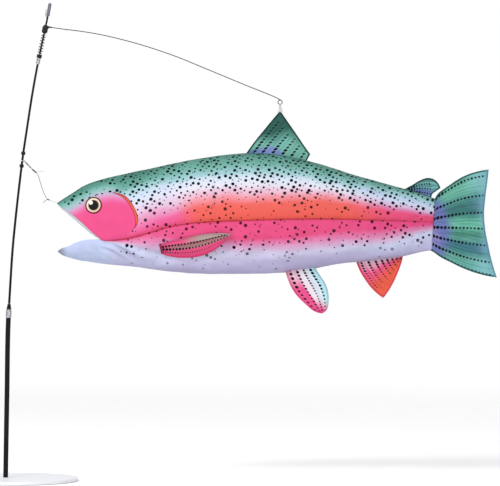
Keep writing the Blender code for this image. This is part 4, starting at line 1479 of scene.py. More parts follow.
def pelvic_ink(s: Array, u: Array) -> Array:
    """Colours a pelvic fin: pink at the front, white and pale cyan behind, hot pink at the tip, and teal painted
    shadow along the rear edge near the root.
    """
    white = bell(s, 0.5, 0.045) + bell(s, 0.74, 0.025) + 0.5 * bell(s, 0.24, 0.02)
    start = 0.1 + 0.46 * rise(0.32, 0.46, s) + 0.1 * rise(0.6, 0.8, s)
    return layered(
        (0.88, 0.33, 0.45),
        ((0.92, 0.55, 0.69), rise(0.04, 0.18, s)),
        ((0.9, 0.76, 0.88), rise(0.36, 0.44, s)),
        ((0.7, 0.8, 0.92), rise(0.58, 0.68, s)),
        ((0.5, 0.8, 0.88), rise(0.74, 0.84, s)),
        ((0.93, 0.92, 0.94), np.clip(white, 0, 1) * 0.75),
        ((0.9, 0.1, 0.29), rise(start, start + 0.3, u)),
        # teal painted shadow along the rear edge near the root
        ((0.2, 0.5, 0.52), 0.6 * rise(0.93, 1.0, s) * fall(0.45, 0.8, u)),
    )


def pectoral_ink(s: Array, u: Array) -> Array:
    """Colours a pectoral fin: beige along its upper half with a grey brown band of painted shadow over its cupped
    middle, and hot pink below and at the root.
    """
    low = rise(0.53, 0.58, s)
    # grey brown painted shadow over the cupped middle of the fin
    grey = mix((0.4, 0.15, 0.17), (0.44, 0.23, 0.23), rise(0.3, 0.5, s))
    return layered(
        (0.86, 0.11, 0.27),
        ((0.5, 0.36, 0.34), rise(0.26, 0.6, u)),
        (grey, rise(0.27, 0.31, s) * fall(0.5, 0.55, s) * rise(0.06, 0.22, u)),
        (mix((0.86, 0.1, 0.25), (0.88, 0.07, 0.22), rise(0.72, 0.95, s)), low),
        ((0.52, 0.33, 0.32), 0.7 * (1 - low) * rise(0.74, 0.92, u)),
        ((0.62, 0.13, 0.2), 0.7 * low * rise(0.8, 0.97, u)),
        ((0.26, 0.012, 0.05), 0.95 * fall(0.012, 0.034, u)),
    )


TAIL_FIELDS = (
    (0.00, (0.12, 0.38, 0.3)), (0.14, (0.17, 0.5, 0.38)), (0.23, (0.1, 0.33, 0.29)), (0.31, (0.06, 0.21, 0.21)),
    (0.4, (0.055, 0.2, 0.19)), (0.47, (0.15, 0.5, 0.38)), (0.54, (0.16, 0.5, 0.37)), (0.6, (0.07, 0.26, 0.2)),
    (0.66, (0.12, 0.38, 0.3)), (0.72, (0.055, 0.19, 0.25)), (0.8, (0.07, 0.24, 0.25)), (0.88, (0.13, 0.4, 0.33)),
    (1.00, (0.16, 0.46, 0.4)),
)


def tail_ink(s: Array, u: Array) -> Array:
    """Colours the tail fin: violet blue at its root, then streaked fields of mint and slate, cyan at the tips.

    Args:
        s: the share from front to rear.
        u: the share from root to tip.

    Returns:
        The ink at each place.
    """
    at, inks = zip(*TAIL_FIELDS, strict=True)
    streak = streaks(s * 31 + 0.5 * np.sin(5 * u + 9 * s), 2)
    tips = np.clip(fall(0.1, 0.26, s) + rise(0.76, 0.9, s), 0, 1)
    blue = np.clip(bell(s, 0.3, 0.08) + bell(s, 0.72, 0.07), 0, 1)
    start = 0.27 + 0.15 * bell(s, 0.55, 0.22) - 0.09 * bell(s, 0.08, 0.1) - 0.04 * rise(0.9, 1.0, s)
    root = layered(
        (0.17, 0.19, 0.5),
        ((0.32, 0.25, 0.6), bell(s, 0.7, 0.14) * fall(0.14, 0.26, u)),
        ((0.08, 0.22, 0.36), fall(0.06, 0.18, s)),
    )
    return layered(
        shaded(across_path(np.array(inks), at, s), 0.34 * streak - 0.08),
        ((0.27, 0.6, 0.64), 0.85 * rise(0.55, 0.92, u) * tips),
        ((0.14, 0.3, 0.44), 0.8 * rise(0.7, 0.94, u) * blue),
        ((0.2, 0.46, 0.52), 0.5 * rise(0.84, 0.97, u)),
        (shaded(root, 0.26 * streak - 0.06), 0.92 * fall(start - 0.13, start + 0.1, u)),
    )


def tail_hem(s: Array, u: Array) -> Array:
    """Colours the tail's folded edge: dark green above and below, and slate blue behind."""
    outer = mix((0.03, 0.1, 0.095), (0.03, 0.115, 0.13), rise(0.4, 0.6, s))
    rear = mix((0.13, 0.33, 0.42), (0.1, 0.26, 0.38), bell(s, 0.5, 0.25))
    return mix(outer, rear, rise(0.93, 0.97, u))


@dataclass
class Fin(Assembly):
    """A printed cloth fin, spanned between four edges.

    Its rows are the rays' shares from front to rear, and dotted is how far out their dots go; the pitch and the
    weight of the dots may differ from ray to ray. A solid ray is drawn in full from a share outwards.
    """

    node: str
    front: Pairs
    rear: Pairs
    root: Pairs
    tip: Pairs
    rows: Sequence[float]
    pitch: float | Sequence[float]
    dot: Pair
    dotted: float
    paint: Paint
    hem: Paint
    flat: Pair
    area: float
    sideways: Callable[[Array, Array, Array], Array] | None = None
    curl: float = 1.2
    wave: float = 58.0
    ripple: float = 13.0
    line: float = 0.7
    solid: tuple[int, float] | None = None
    free_root: bool = False
    seed: int = 1
    weight: float | Sequence[float] = 1.0
    cloth: float = 0.9

    def middle(self, rows: int = 90, columns: int = 81) -> tuple[Array, Array, Array]:
        """Spans the four edges: each place is the blend of front and rear, plus the blend of root and tip,
        less the blend of the four corners.

        Args:
            rows: places from root to tip.
            columns: places from front to rear.

        Returns:
            The (x, z) places, and at each the share s from front to rear and the share u from root to tip.
        """
        u, s = np.meshgrid(np.linspace(0, 1, rows), np.linspace(0, 1, columns), indexing="ij")
        front = even_path(self.front, rows)[:, None]
        rear = even_path(self.rear, rows)[:, None]
        root = even_path(self.root, columns)[None]
        tip = even_path(self.tip, columns)[None] if len(self.tip) > 1 else np.array(self.tip, float)[None]
        a, b = s[..., None], u[..., None]
        corners = (1 - a) * (1 - b) * front[0] + a * (1 - b) * rear[0] + (1 - a) * b * front[-1] + a * b * rear[-1]
        return (1 - a) * front + a * rear + (1 - b) * root + b * tip - corners, s, u

    def ray(self, s: Array) -> Array:
        """Numbers the rays: whole at each ray, and carried on evenly in front of the first and behind the last."""
        rows, last = self.rows, len(self.rows) - 1
        ray = np.interp(s, rows, np.arange(last + 1))
        ray = np.where(s < rows[0], (s - rows[0]) / (rows[1] - rows[0]), ray)
        return np.where(s > rows[-1], last + (s - rows[-1]) / (rows[-1] - rows[-2]), ray)

    def hem_marks(self, flat: Array) -> dict[str, Array]:
        """Gives the distance from the hemmed border and the way walked along it, in millimetres."""
        edges = [even_path(self.front, 160), even_path(self.rear, 160)[::-1]]
        if len(self.tip) > 1:
            edges.insert(1, even_path(self.tip, 200))
        border = np.concatenate(edges + [even_path(self.root, 160)[::-1]] * self.free_root)
        away, along = distance_to(flat, border)
        walk = np.interp(along * (len(border) - 1), np.arange(len(border)), walked(border))
        return {"edge": away, "walk": walk}

    def ray_marks(self, flat: Array, s: Array, u: Array) -> dict[str, Array]:
        """Gives what the finish draws along the rays.

        Args:
            flat: the fin's (x, z) places.
            s: the share from front to rear.
            u: the share from root to tip.

        Returns:
            The gap between the rays, the way walked out along them, and the pitch and size of their dots, all in
            millimetres.
        """
        ray, last = self.ray(s), len(self.rows) - 1
        slope = np.maximum(np.abs(np.gradient(ray, axis=1)), LEAST_SLOPE)
        gap = np.linalg.norm(np.gradient(flat, axis=1), axis=2) / slope
        nearest = np.clip(np.round(ray), 0, last).astype(int)
        pitch, weight = (np.broadcast_to(value, last + 1)[nearest] for value in (self.pitch, self.weight))
        ends = (0, self.dotted * 0.75, self.dotted, min(self.dotted + 0.03, 1.0))
        dot = np.interp(u, ends, (*self.dot, self.dot[1], 0)) * weight * (np.abs(ray - last / 2) < (last + 1) / 2)
        return {"gap": gap, "reach": walked(flat), "pitch": pitch, "dot": dot}

    def build(self) -> None:
        """Makes the fin as one sheet with its marks and inks."""
        flat, s, u = self.middle()
        x, z = flat[..., 0], flat[..., 1]
        wave = Ripples(self.wave, self.seed, 6).at(x, z) + 0.25 * Ripples(self.ripple, self.seed + 50, 6).at(x, z)
        y = (self.sideways(x, z, u) if self.sideways else 0 * x) + self.curl * rise(0.05, 0.8, u) * wave
        sized = self.hem_marks(flat) | self.ray_marks(flat, s, u)
        marks = {mark: value * MM for mark, value in sized.items()} | {
            "ray": self.ray(s), "ink": self.paint(s, u), "hem": self.hem(s, u), "solid": 0 * s,
            "line": self.line * rise(0.02, 0.2, u) * rise(3.2, 6.0, sized["edge"]),
        }
        if self.solid:
            ray, start = self.solid
            marks["solid"] = (np.abs(marks["ray"] - ray) < 0.5) * rise(start, start + 0.04, u)
        sheet = Surface(SHAPE.world(x, y, z), marks=marks, chart=flat * MM)
        cloth = Cloth(self.cloth, 0, self.flat, area=self.area)
        self.add(f"cloth_{self.node}", sheet, Finish.FIN, self.node, cloth=cloth)


def along_line(line: Pairs, start: float, end: float, sink: float) -> list[Pair]:
    """Takes points of an outline between two x, moved by sink along z."""
    x = np.linspace(start, end, 9)
    return list(zip(x.tolist(), (smooth(line, x) + sink).tolist(), strict=True))


@dataclass
class Fins(Assembly):
    """All the windsock's fins."""

    dorsal: Pair = (327.0, 432.0)
    anal: Pair = (518.0, 599.0)
    adipose: Pair = (601.0, 647.0)
    pelvic: Pair = (395.5, 445.5)
    pelvic_offset: float = 14.0
    pelvic_splay: float = 9.0
    pectoral_root: Pair = (181.0, -79.5)
    pectoral_tip: Pair = (302.0, -54.5)
    pectoral_chord: Pairs = (
        (0, 15.5), (0.16, 28.0), (0.36, 34.0), (0.56, 35.0), (0.78, 25.5), (0.92, 13.0), (1, 3.5),
    )
    pectoral_sag: float = 7.5
    pectoral_lift: float = 7.6
    pectoral_cup: float = 1.6
    fins: list[Fin] = field(default_factory=list)

    def pelvic_root(self, x: Array) -> Array:
        """Gives z on the belly at the pelvic fins' distance from the middle plane."""
        edge, low = SHAPE.edge(x, False), smooth(SHAPE.keel, x)
        return edge - (edge - low) * np.sqrt(1 - (self.pelvic_offset / smooth(SHAPE.half, x)) ** 2)

    def make_middle(self) -> None:
        """Sets out the fins in the middle plane."""
        green_hem = even_ink((0.01, 0.042, 0.04))
        root = along_line(SHAPE.crown, *self.dorsal, -2.0)
        self.fins.append(Fin(
            "dorsal_fin",
            [root[0], (330.5, 90), (345, 109.8), (359, 126.8), (373, 144), (387, 160.2)],
            [root[-1], (439, 85)], root,
            [(387, 160.2), (400.5, 140.5), (414.5, 120.3), (428.5, 99.5), (439, 85)],
            (0.12, 0.26, 0.42, 0.58, 0.73, 0.89), 6.4, (2.8, 1.7), 0.84, dorsal_ink, green_hem,
            (0.1065, 0.076), 0.00489, seed=3,
        ))
        lower = along_line(SHAPE.crown, *self.adipose, -2.0)
        self.fins.append(Fin(
            "adipose_fin",
            [lower[0], (605, 26), (615, 31.5), (629, 39.8), (642.5, 43.9), (653.6, 41.1), (660.5, 34.3),
             (664.3, 26.6)],
            [*lower, (650.5, 16.5), (657.5, 21.5), (664.3, 26.6)], [lower[0]] * 2, [(664.3, 26.6)],
            (0.3, 0.55, 0.8), 4.6, (2.0, 1.5), 0.66, adipose_ink, even_ink((0.014, 0.055, 0.05)),
            (0.063, 0.0324), 0.0013, curl=0.7, seed=5,
        ))
        root = along_line(SHAPE.keel, *self.anal, 2.0)
        self.fins.append(Fin(
            "anal_fin",
            [root[0], (522, -111), (535.5, -134.6), (550, -152), (565.3, -163.7)],
            [root[-1], (598.6, -96.5)], root,
            [(565.3, -163.7), (577, -147.5), (587, -128), (594.3, -110.5), (598.6, -96.5)],
            (0.1, 0.254, 0.405, 0.538, 0.652, 0.757, 0.851, 0.937), 5.0, (2.4, 1.2), 0.74,
            anal_ink, even_ink((0.74, 0.07, 0.1)), (0.077, 0.071), 0.00357, line=0.35, seed=7,
        ))
        self.fins.append(Fin(
            "tail_fin",
            [(649.5, 4.0), (653.8, 7), (657, 13), (660.9, 18), (667.8, 23.2), (681.6, 32.8), (695.5, 42),
             (709.3, 49), (728, 55), (747.5, 58.6)],
            [(644.5, -80.5), (650.5, -83.6), (665, -93.6), (681.6, -102), (702.4, -112), (723, -119.8),
             (744, -125.4), (761.8, -128.4)],
            [(649.5, 4.0), (647.6, -30), (644.5, -80.5)],
            [(747.5, 58.6), (745.3, 36), (741.6, 8), (739.7, -20), (742, -48), (746.6, -72), (752.6, -98),
             (761.8, -128.4)],
            (0.055, 0.238, 0.395, 0.543, 0.7, 0.858, 0.985), 6.4, (2.8, 1.9), 0.95,
            tail_ink, tail_hem,
            (0.108, 0.185), 0.0149, curl=1.8, line=0.9, seed=9,
        ))

    def make_pelvic(self, side: Side) -> None:
        """Sets out one pelvic fin.

        Its root lies on the belly beside the middle plane, and y grows with the depth below the root times
        the tangent of the splay.

        Args:
            side: the side that it is on.
        """
        x = np.linspace(*self.pelvic, 9)
        root = list(zip(x.tolist(), (self.pelvic_root(x) + 1.6).tolist(), strict=True))

        def sideways(at_x: Array, z: Array, u: Array) -> Array:
            """Gives y at each place of the fin."""
            depth = np.maximum(self.pelvic_root(at_x) - z, 0)
            return side.value * (self.pelvic_offset + depth * math.tan(math.radians(self.pelvic_splay)))

        self.fins.append(Fin(
            f"pelvic_fin_{side.word}",
            [root[0], (398, -125), (410.7, -152.9), (430.6, -174.4), (446, -186.5), (458, -190.1)],
            [root[-1], (456.5, -126), (465, -139), (469.8, -155), (470.4, -170), (466.5, -184.5), (458, -190.1)],
            root, [(458, -190.1)],
            (0.15, 0.38, 0.6, 0.82), (8.2, 6.4, 5.0, 6.2), (2.7, 1.75), 0.95,
            pelvic_ink, hem_of(pelvic_ink), (0.0745, 0.078), 0.00406,
            sideways=sideways, curl=0.9, line=0.25, seed=11 + side.value, weight=(1.12, 0.9, 0.7, 0.9),
        ))

    def make_pectoral(self, side: Side) -> None:
        """Sets out one pectoral fin.

        It is a leaf laid along the flank: a sagging middle line with half the chord on each side, which lifts
        off the cloth towards its tip and is cupped a little.

        Args:
            side: the side that it is on.
        """
        share = np.linspace(0, 1, 24)
        root, tip = np.array(self.pectoral_root), np.array(self.pectoral_tip)
        run = unit(tip - root)
        normal = np.array([-run[1], run[0]])
        middle = root + share[:, None] * (tip - root) - np.outer(self.pectoral_sag * np.sin(pi * share), normal)
        half = smooth(self.pectoral_chord, share)[:, None] / 2 * normal
        upper, lower = middle + half, middle - half

        def sideways(x: Array, z: Array, u: Array) -> Array:
            """Gives y at each place of the fin."""
            cup = self.pectoral_cup * np.sin(pi * np.linspace(0, 1, u.shape[1]))[None] * np.sin(pi * u)
            return side.value * (SHAPE.flank(x, z) + 1.2 + self.pectoral_lift * u + cup)

        self.fins.append(Fin(
            f"pectoral_fin_{side.word}", upper.tolist(), lower.tolist(), [upper[0].tolist(), lower[0].tolist()],
            [upper[-1].tolist(), lower[-1].tolist()],
            (0.04, 0.29, 0.52, 0.73), (5.2, 5.4, 5.6, 4.2), (2.2, 1.35), 0.94,
            pectoral_ink, hem_of(pectoral_ink), (0.037, 0.124), 0.00383,
            sideways=sideways, curl=0.5, line=0.2, solid=(1, 0.4), free_root=True, seed=17 + side.value,
            weight=(0.7, 1.0, 1.05, 0.6),
        ))

    def build(self) -> None:
        """Makes every fin."""
        self.make_middle()
        for side in Side:
            self.make_pelvic(side)
            self.make_pectoral(side)
        for fin in self.fins:
            fin.build()
            self.parts += fin.parts


BASE_TOP = 6.0
POLE_BOW = (
    (0, 0), (140, 2.3), (276, 4.9), (333, 8.1), (393, 12.0), (463, 18.9), (532, 26.9), (561, 30.6),
    (603, 36.9), (660, 45.7), (712, 55.0), (735, 59.6), (768, 66.7), (783, 69.9), (798, 73.0), (821, 77.0),
)


def in_plane(points: Pairs | Array) -> Array:
    """Turns (x, height above the base) in millimetres into places in metres in the middle plane."""
    x, height = np.array(points, float).T
    return np.stack([x, 0 * x, height + BASE_TOP], axis=1) * MM


def pole_places(height: Array) -> Array:
    """Gives the places of the pole's bowed middle line at heights in millimetres."""
    return in_plane(paired(smooth(POLE_BOW, height), height))


def on_pole(low: float, high: float, count: int = 12) -> Array:
    """Gives places along the pole's middle line, between two heights in millimetres."""
    return pole_places(np.linspace(low, high, count))


def pole_axis(height: float) -> Axis:
    """Gives the pole's own line at a height: its foot there, along the bow."""
    below, here, above = on_pole(height - 1, height + 1, 3)
    return Axis(here, unit(above - below))


@dataclass
class Base(Assembly):
    """The round steel plate that holds the pole's foot."""

    body: ClassVar[str] = POLE_BODY
    radius: float = 125.0
    bore: float = 4.55
    socket_floor: float = 1.5
    bevel: float = 1.3

    def build(self) -> None:
        """Turns the plate: its rims are rounded, and a blind socket goes down around the pole's foot."""
        floor = self.socket_floor
        plate = ((0, 0), (self.radius, 0), (self.radius, BASE_TOP))
        socket = ((self.bore, BASE_TOP), (self.bore, floor), (0, floor))
        plate = turned(Axis(np.zeros(3), UPRIGHT), rounded(plate + socket, self.bevel, 7) * MM, 160)
        self.add("base_plate", plate, Finish.BASE, "stand_base")


@dataclass
class Pole(Assembly):
    """The pole's lengths: a tube, a ferrule and cone, a thin tapered rod, and the sleeve and collar above it."""

    body: ClassVar[str] = POLE_BODY
    tube: Triple = (-4.2, 275.7, 4.25)
    ferrule: Triple = (276.0, 290.2, 5.2)
    cone: tuple[float, float, float, float] = (290.5, 300.0, 4.25, 2.6)
    rod: tuple[float, float, float, float] = (300.3, 714.7, 2.1, 1.9)
    sleeve: Triple = (715.0, 725.2, 3.55)
    collar: Triple = (725.5, 731.4, 4.65)
    top_rod: Triple = (731.7, 797.6, 1.6)
    rim: float = 0.35
    groove: float = 0.45
    lip: float = 0.18

    def bar(self, low: float, high: float, radius: float, top: float | None = None) -> Surface:
        """Makes one round length that follows the bow, with rounded rims and rings all along its wall.

        Args:
            low: the height of its lower end.
            high: the height of its upper end.
            radius: its radius at the lower end.
            top: its radius at the upper end, if that differs.

        Returns:
            The length.
        """
        length = high - low
        profile = rounded([(0, 0), (radius, 0), (top or radius, length), (0, length)], self.rim, 5) / (1, length)
        lower, upper = profile[:6], profile[-6:]
        wall = lower[-1] + np.linspace(0, 1, 40)[1:-1, None] * (upper[0] - lower[-1])
        return turned_along(on_pole(low, high, 60), np.concatenate([lower, wall, upper]))

    def crimped(self, low: float, high: float, radius: float, rings: Sequence[float]) -> Surface:
        """Makes a sleeve with rolled rims and grooves pressed round it.

        Args:
            low: the height of its lower end.
            high: the height of its upper end.
            radius: its radius.
            rings: the shares of its length where the grooves are.

        Returns:
            The sleeve.
        """
        share = np.linspace(0, 1, 60)
        groove = sum(self.groove * bell(share, ring, 0.035) for ring in rings)
        lip = self.lip * (bell(share, 0.04, 0.04) + bell(share, 0.96, 0.04))
        rim = 1 - 0.35 * (1 - np.clip(np.minimum(share, 1 - share) / 0.03, 0, 1)) ** 2
        wall = paired((radius - self.lip - groove + lip) * rim, share)
        return turned_along(on_pole(low, high), np.concatenate([[(0, 0)], wall, [(0, 1)]]))

    def build(self) -> None:
        """Makes every length: fibreglass rods, metal sleeves and a plastic collar."""
        self.add("lower_tube", self.bar(*self.tube), Finish.FIBREGLASS, "pole_tube")
        self.add("cone", self.bar(*self.cone), Finish.FIBREGLASS, "pole_cone")
        self.add("thin_rod", self.bar(*self.rod), Finish.FIBREGLASS, "pole_rod")
        self.add("tip_rod", self.bar(*self.top_rod), Finish.FIBREGLASS, "top_rod")
        self.add("lower_sleeve", self.crimped(*self.ferrule, (0.22, 0.78)), Finish.SLEEVE, "pole_ferrule")
        self.add("upper_sleeve", self.crimped(*self.sleeve, (0.5,)), Finish.SLEEVE, "upper_ferrule")
        self.add("ribbed_collar", self.crimped(*self.collar, (0.33, 0.66)), Finish.PLASTIC, "spring_collar")


@dataclass
class PoleFittings(Assembly):
    """What sits on the pole: two stop beads, the open coil, and the sleeve with its loose strand at the tip."""

    body: ClassVar[str] = POLE_BODY
    stop_radius: float = 3.9
    stop_heights: Pair = (538.6, 560.6)
    bore: float = 2.35
    coil_heights: Pair = (732.6, 766.4)
    coil_turns: float = 7.0
    coil_radius: float = 3.65
    coil_wire: float = 0.6
    coil_closing: float = 0.021
    cap: Triple = (797.9, 820.6, 3.0)
    cap_dome: float = 0.86
    strand_radius: float = 0.4
    strand: Pairs = ((70.6, 795.6), (69.3, 802.5), (71.2, 809.6))

    def bead(self, height: float) -> Surface:
        """Turns a bored ball: the outer arc of a circle, closed by the bore."""
        start = math.acos(self.bore / self.stop_radius)
        arc = np.linspace(-start, start, 25)
        seam = 1 - 0.03 * bell(arc, 0, 0.06)
        profile = paired(self.stop_radius * np.cos(arc) * seam, self.stop_radius * np.sin(arc))
        profile = np.concatenate([profile, [(self.bore, profile[-1, 1]), (self.bore, profile[0, 1]), profile[0]]])
        return turned(pole_axis(height), profile * MM, 48)

    def coil(self) -> Surface:
        """Winds the coil: the pole's line plus the radius times (cos 2 pi t across + sin 2 pi t aside) at turn t.

        Returns:
            The coil's wire.
        """
        turn = np.linspace(0, self.coil_turns, 560)
        share = turn / self.coil_turns
        share = share - self.coil_closing * np.sin(tau * share)
        low, high = self.coil_heights
        middle = pole_places(low + self.coil_wire + (high - low - 2 * self.coil_wire) * share)
        axis = pole_axis((low + high) / 2)
        path = middle + self.coil_radius * MM * circle(tau * turn, axis.sides()[0], ACROSS)
        return tube(path, self.coil_wire * MM, 12, axis.way)

    def sleeve(self) -> Surface:
        """Turns the tip's sleeve: a soft rolled foot, a slightly waisted wall and a round end."""
        low, high, radius = self.cap
        share = np.linspace(0, 1, 46)
        dome = np.sqrt(1 - ((share - self.cap_dome) / (1 - self.cap_dome)).clip(0, 1) ** 2)
        wall = radius * (1 - 0.05 * bell(share, 0.45, 0.2) + 0.03 * bell(share, 0.06, 0.05)) * dome
        foot = np.array([(0, 0), (0.82 * radius, 0), (0.95 * radius, 0.012)])
        return turned_along(on_pole(low, high), np.concatenate([foot, paired(wall, share)[1:]]))

    def build(self) -> None:
        """Makes every fitting."""
        for which, height in zip(("lower", "upper"), self.stop_heights, strict=True):
            self.add(f"{which}_bead", self.bead(height), Finish.RUBBER, f"stop_{which}")
        self.add("open_coil", self.coil(), Finish.SPRING, "coil_spring")
        self.add("tip_sleeve", self.sleeve(), Finish.CAP, "end_cap")
        strand = tube(even_path(in_plane(self.strand), 30), self.strand_radius * MM, 10)
        self.add("loose_strand", strand, Finish.BLACK_CORD, "cap_strand")


@dataclass
class Arm(Assembly):
    """The hub that turns on the pole's tip and the sprung wire that it holds."""

    height: float = 775.2
    length: float = 14.4
    radius: float = 5.3
    bore: float = 2.4
    shape: Pairs = (
        (0, 0.6), (0.05, 0.72), (0.16, 0.9), (0.28, 0.98), (0.37, 0.95), (0.43, 0.87), (0.5, 0.95),
        (0.6, 1.0), (0.72, 0.96), (0.8, 0.84), (0.88, 0.74), (0.96, 0.66), (1, 0.58),
    )
    nozzle: tuple[Pair, Pair] = ((72.0, 778.9), (79.6, 778.3))
    wire: float = 0.75
    route: Pairs = (
        (77.2, 778.6), (99.3, 775.4), (128.7, 771.8), (162.4, 766.2), (205.5, 756.2), (248.4, 743.9),
        (288.2, 730.4), (354.3, 703.6), (420.6, 676.2), (453.6, 663.0), (470.0, 656.0),
    )
    eye: Pair = (474.9, 648.8)
    eye_radius: float = 3.7
    eye_start: float = 68.0
    eye_turn: float = 346.0

    def hub(self) -> list[Surface]:
        """Turns the hub with its bore, and the nozzle that holds the wire.

        Returns:
            The hub and the nozzle.
        """
        fine = np.linspace(0, 1, 60)
        wall = paired(smooth(self.shape, fine) * self.radius, self.length * (fine - 0.5))
        half = self.length / 2
        profile = np.concatenate([[(self.bore, -half)], wall, [(self.bore, half)], [(self.bore, -half)]])
        axis = pole_axis(self.height)
        body = turned(axis, profile * MM, 72)
        ends = in_plane(self.nozzle)
        way = unit(ends[1] - ends[0])
        run = float(np.linalg.norm(ends[1] - ends[0])) / MM
        spout = rounded([(0, 0), (2.0, 0), (1.95, run * 0.35), (1.35, run * 0.5), (1.2, run), (0, run)], 0.4, 5)
        return [body, turned(Axis(ends[0], way), spout * MM, 36)]

    def arm(self) -> Surface:
        """Bends the wire: its long bow, then one turn of the eye that passes beside where it started."""
        angle = np.radians(self.eye_start - np.linspace(0, self.eye_turn, 90))
        turn = in_plane([self.eye]) / MM + self.eye_radius * circle(angle, (1, 0, 0), UPRIGHT)
        turn[:, 1] = 2 * (self.wire + 0.25) * (np.linspace(0, 1, angle.size) - 0.46)
        bow = even_path(in_plane(self.route) / MM, 160)
        bow[:, 1] = turn[0, 1] * rise(420, 470, bow[:, 0])
        return tube(np.concatenate([bow, turn]) * MM, self.wire * MM, 14)

    def build(self) -> None:
        """Makes the hub and the wire."""
        self.add("turning_hub", self.hub(), Finish.PLASTIC, "swivel_hub")
        self.add("sprung_arm", self.arm(), Finish.WIRE, "arm_wire")


@dataclass
class Ribbon(Assembly):
    """The ribbon that hangs the fish from the wire's eye: folded over the wire, gathered, and sewn to the fin."""

    eye: Pair = Arm.eye
    eye_radius: float = Arm.eye_radius
    wire: float = Arm.wire
    bottom: float = 631.6
    widths: Pair = (2.6, 9.0)
    pleats: int = 4
    pleat_depths: Pair = (0.42, 0.12)
    sway: float = 0.7
    cloth: float = 0.3

    def build(self) -> None:
        """Carries a pleated strip from one lower end over the wire to the other.

        Across its width the strip is moved by a wave of four pleats, deep at the wire and shallow below.
        """
        bend = self.wire + 0.3
        top = self.eye[1] - self.eye_radius
        leg = np.linspace(self.bottom, top, 41)[:-1]
        arc = np.linspace(0, pi, 17)
        side = np.concatenate([np.full(40, bend), bend * np.cos(arc), np.full(40, -bend)])
        height = np.concatenate([leg, top + bend * np.sin(arc), leg[::-1]])
        spread = np.clip((top - height) / (top - self.bottom), 0, 1)
        width = self.widths[0] + (self.widths[1] - self.widths[0]) * spread**1.4
        across = np.linspace(-0.5, 0.5, 41)
        out = unit(paired(np.gradient(height), -np.gradient(side)))
        deep, shallow = self.pleat_depths
        depth = (deep + (shallow - deep) * spread)[:, None] * (1 + np.sin(tau * across * self.pleats + 0.6)) / 2
        x = self.eye[0] + np.outer(width, across) + self.sway * spread[:, None] * np.sin(3 * spread[:, None])
        y = side[:, None] + out[:, :1] * depth
        z = height[:, None] + out[:, 1:] * depth + BASE_TOP
        run = np.arange(1, len(width) + 1)[:, None]
        chart = np.stack(np.broadcast_arrays(across * 0.009, run * 0.0004), axis=2)
        strip = Surface(np.stack([x, y, z], axis=2) * MM, chart=chart)
        cloth = Cloth(self.cloth, 0, (0.01, 0.038), "gathered", 0.0002)
        self.add("gathered_ribbon", strip, Finish.RIBBON, "hanger_tab", cloth=cloth)


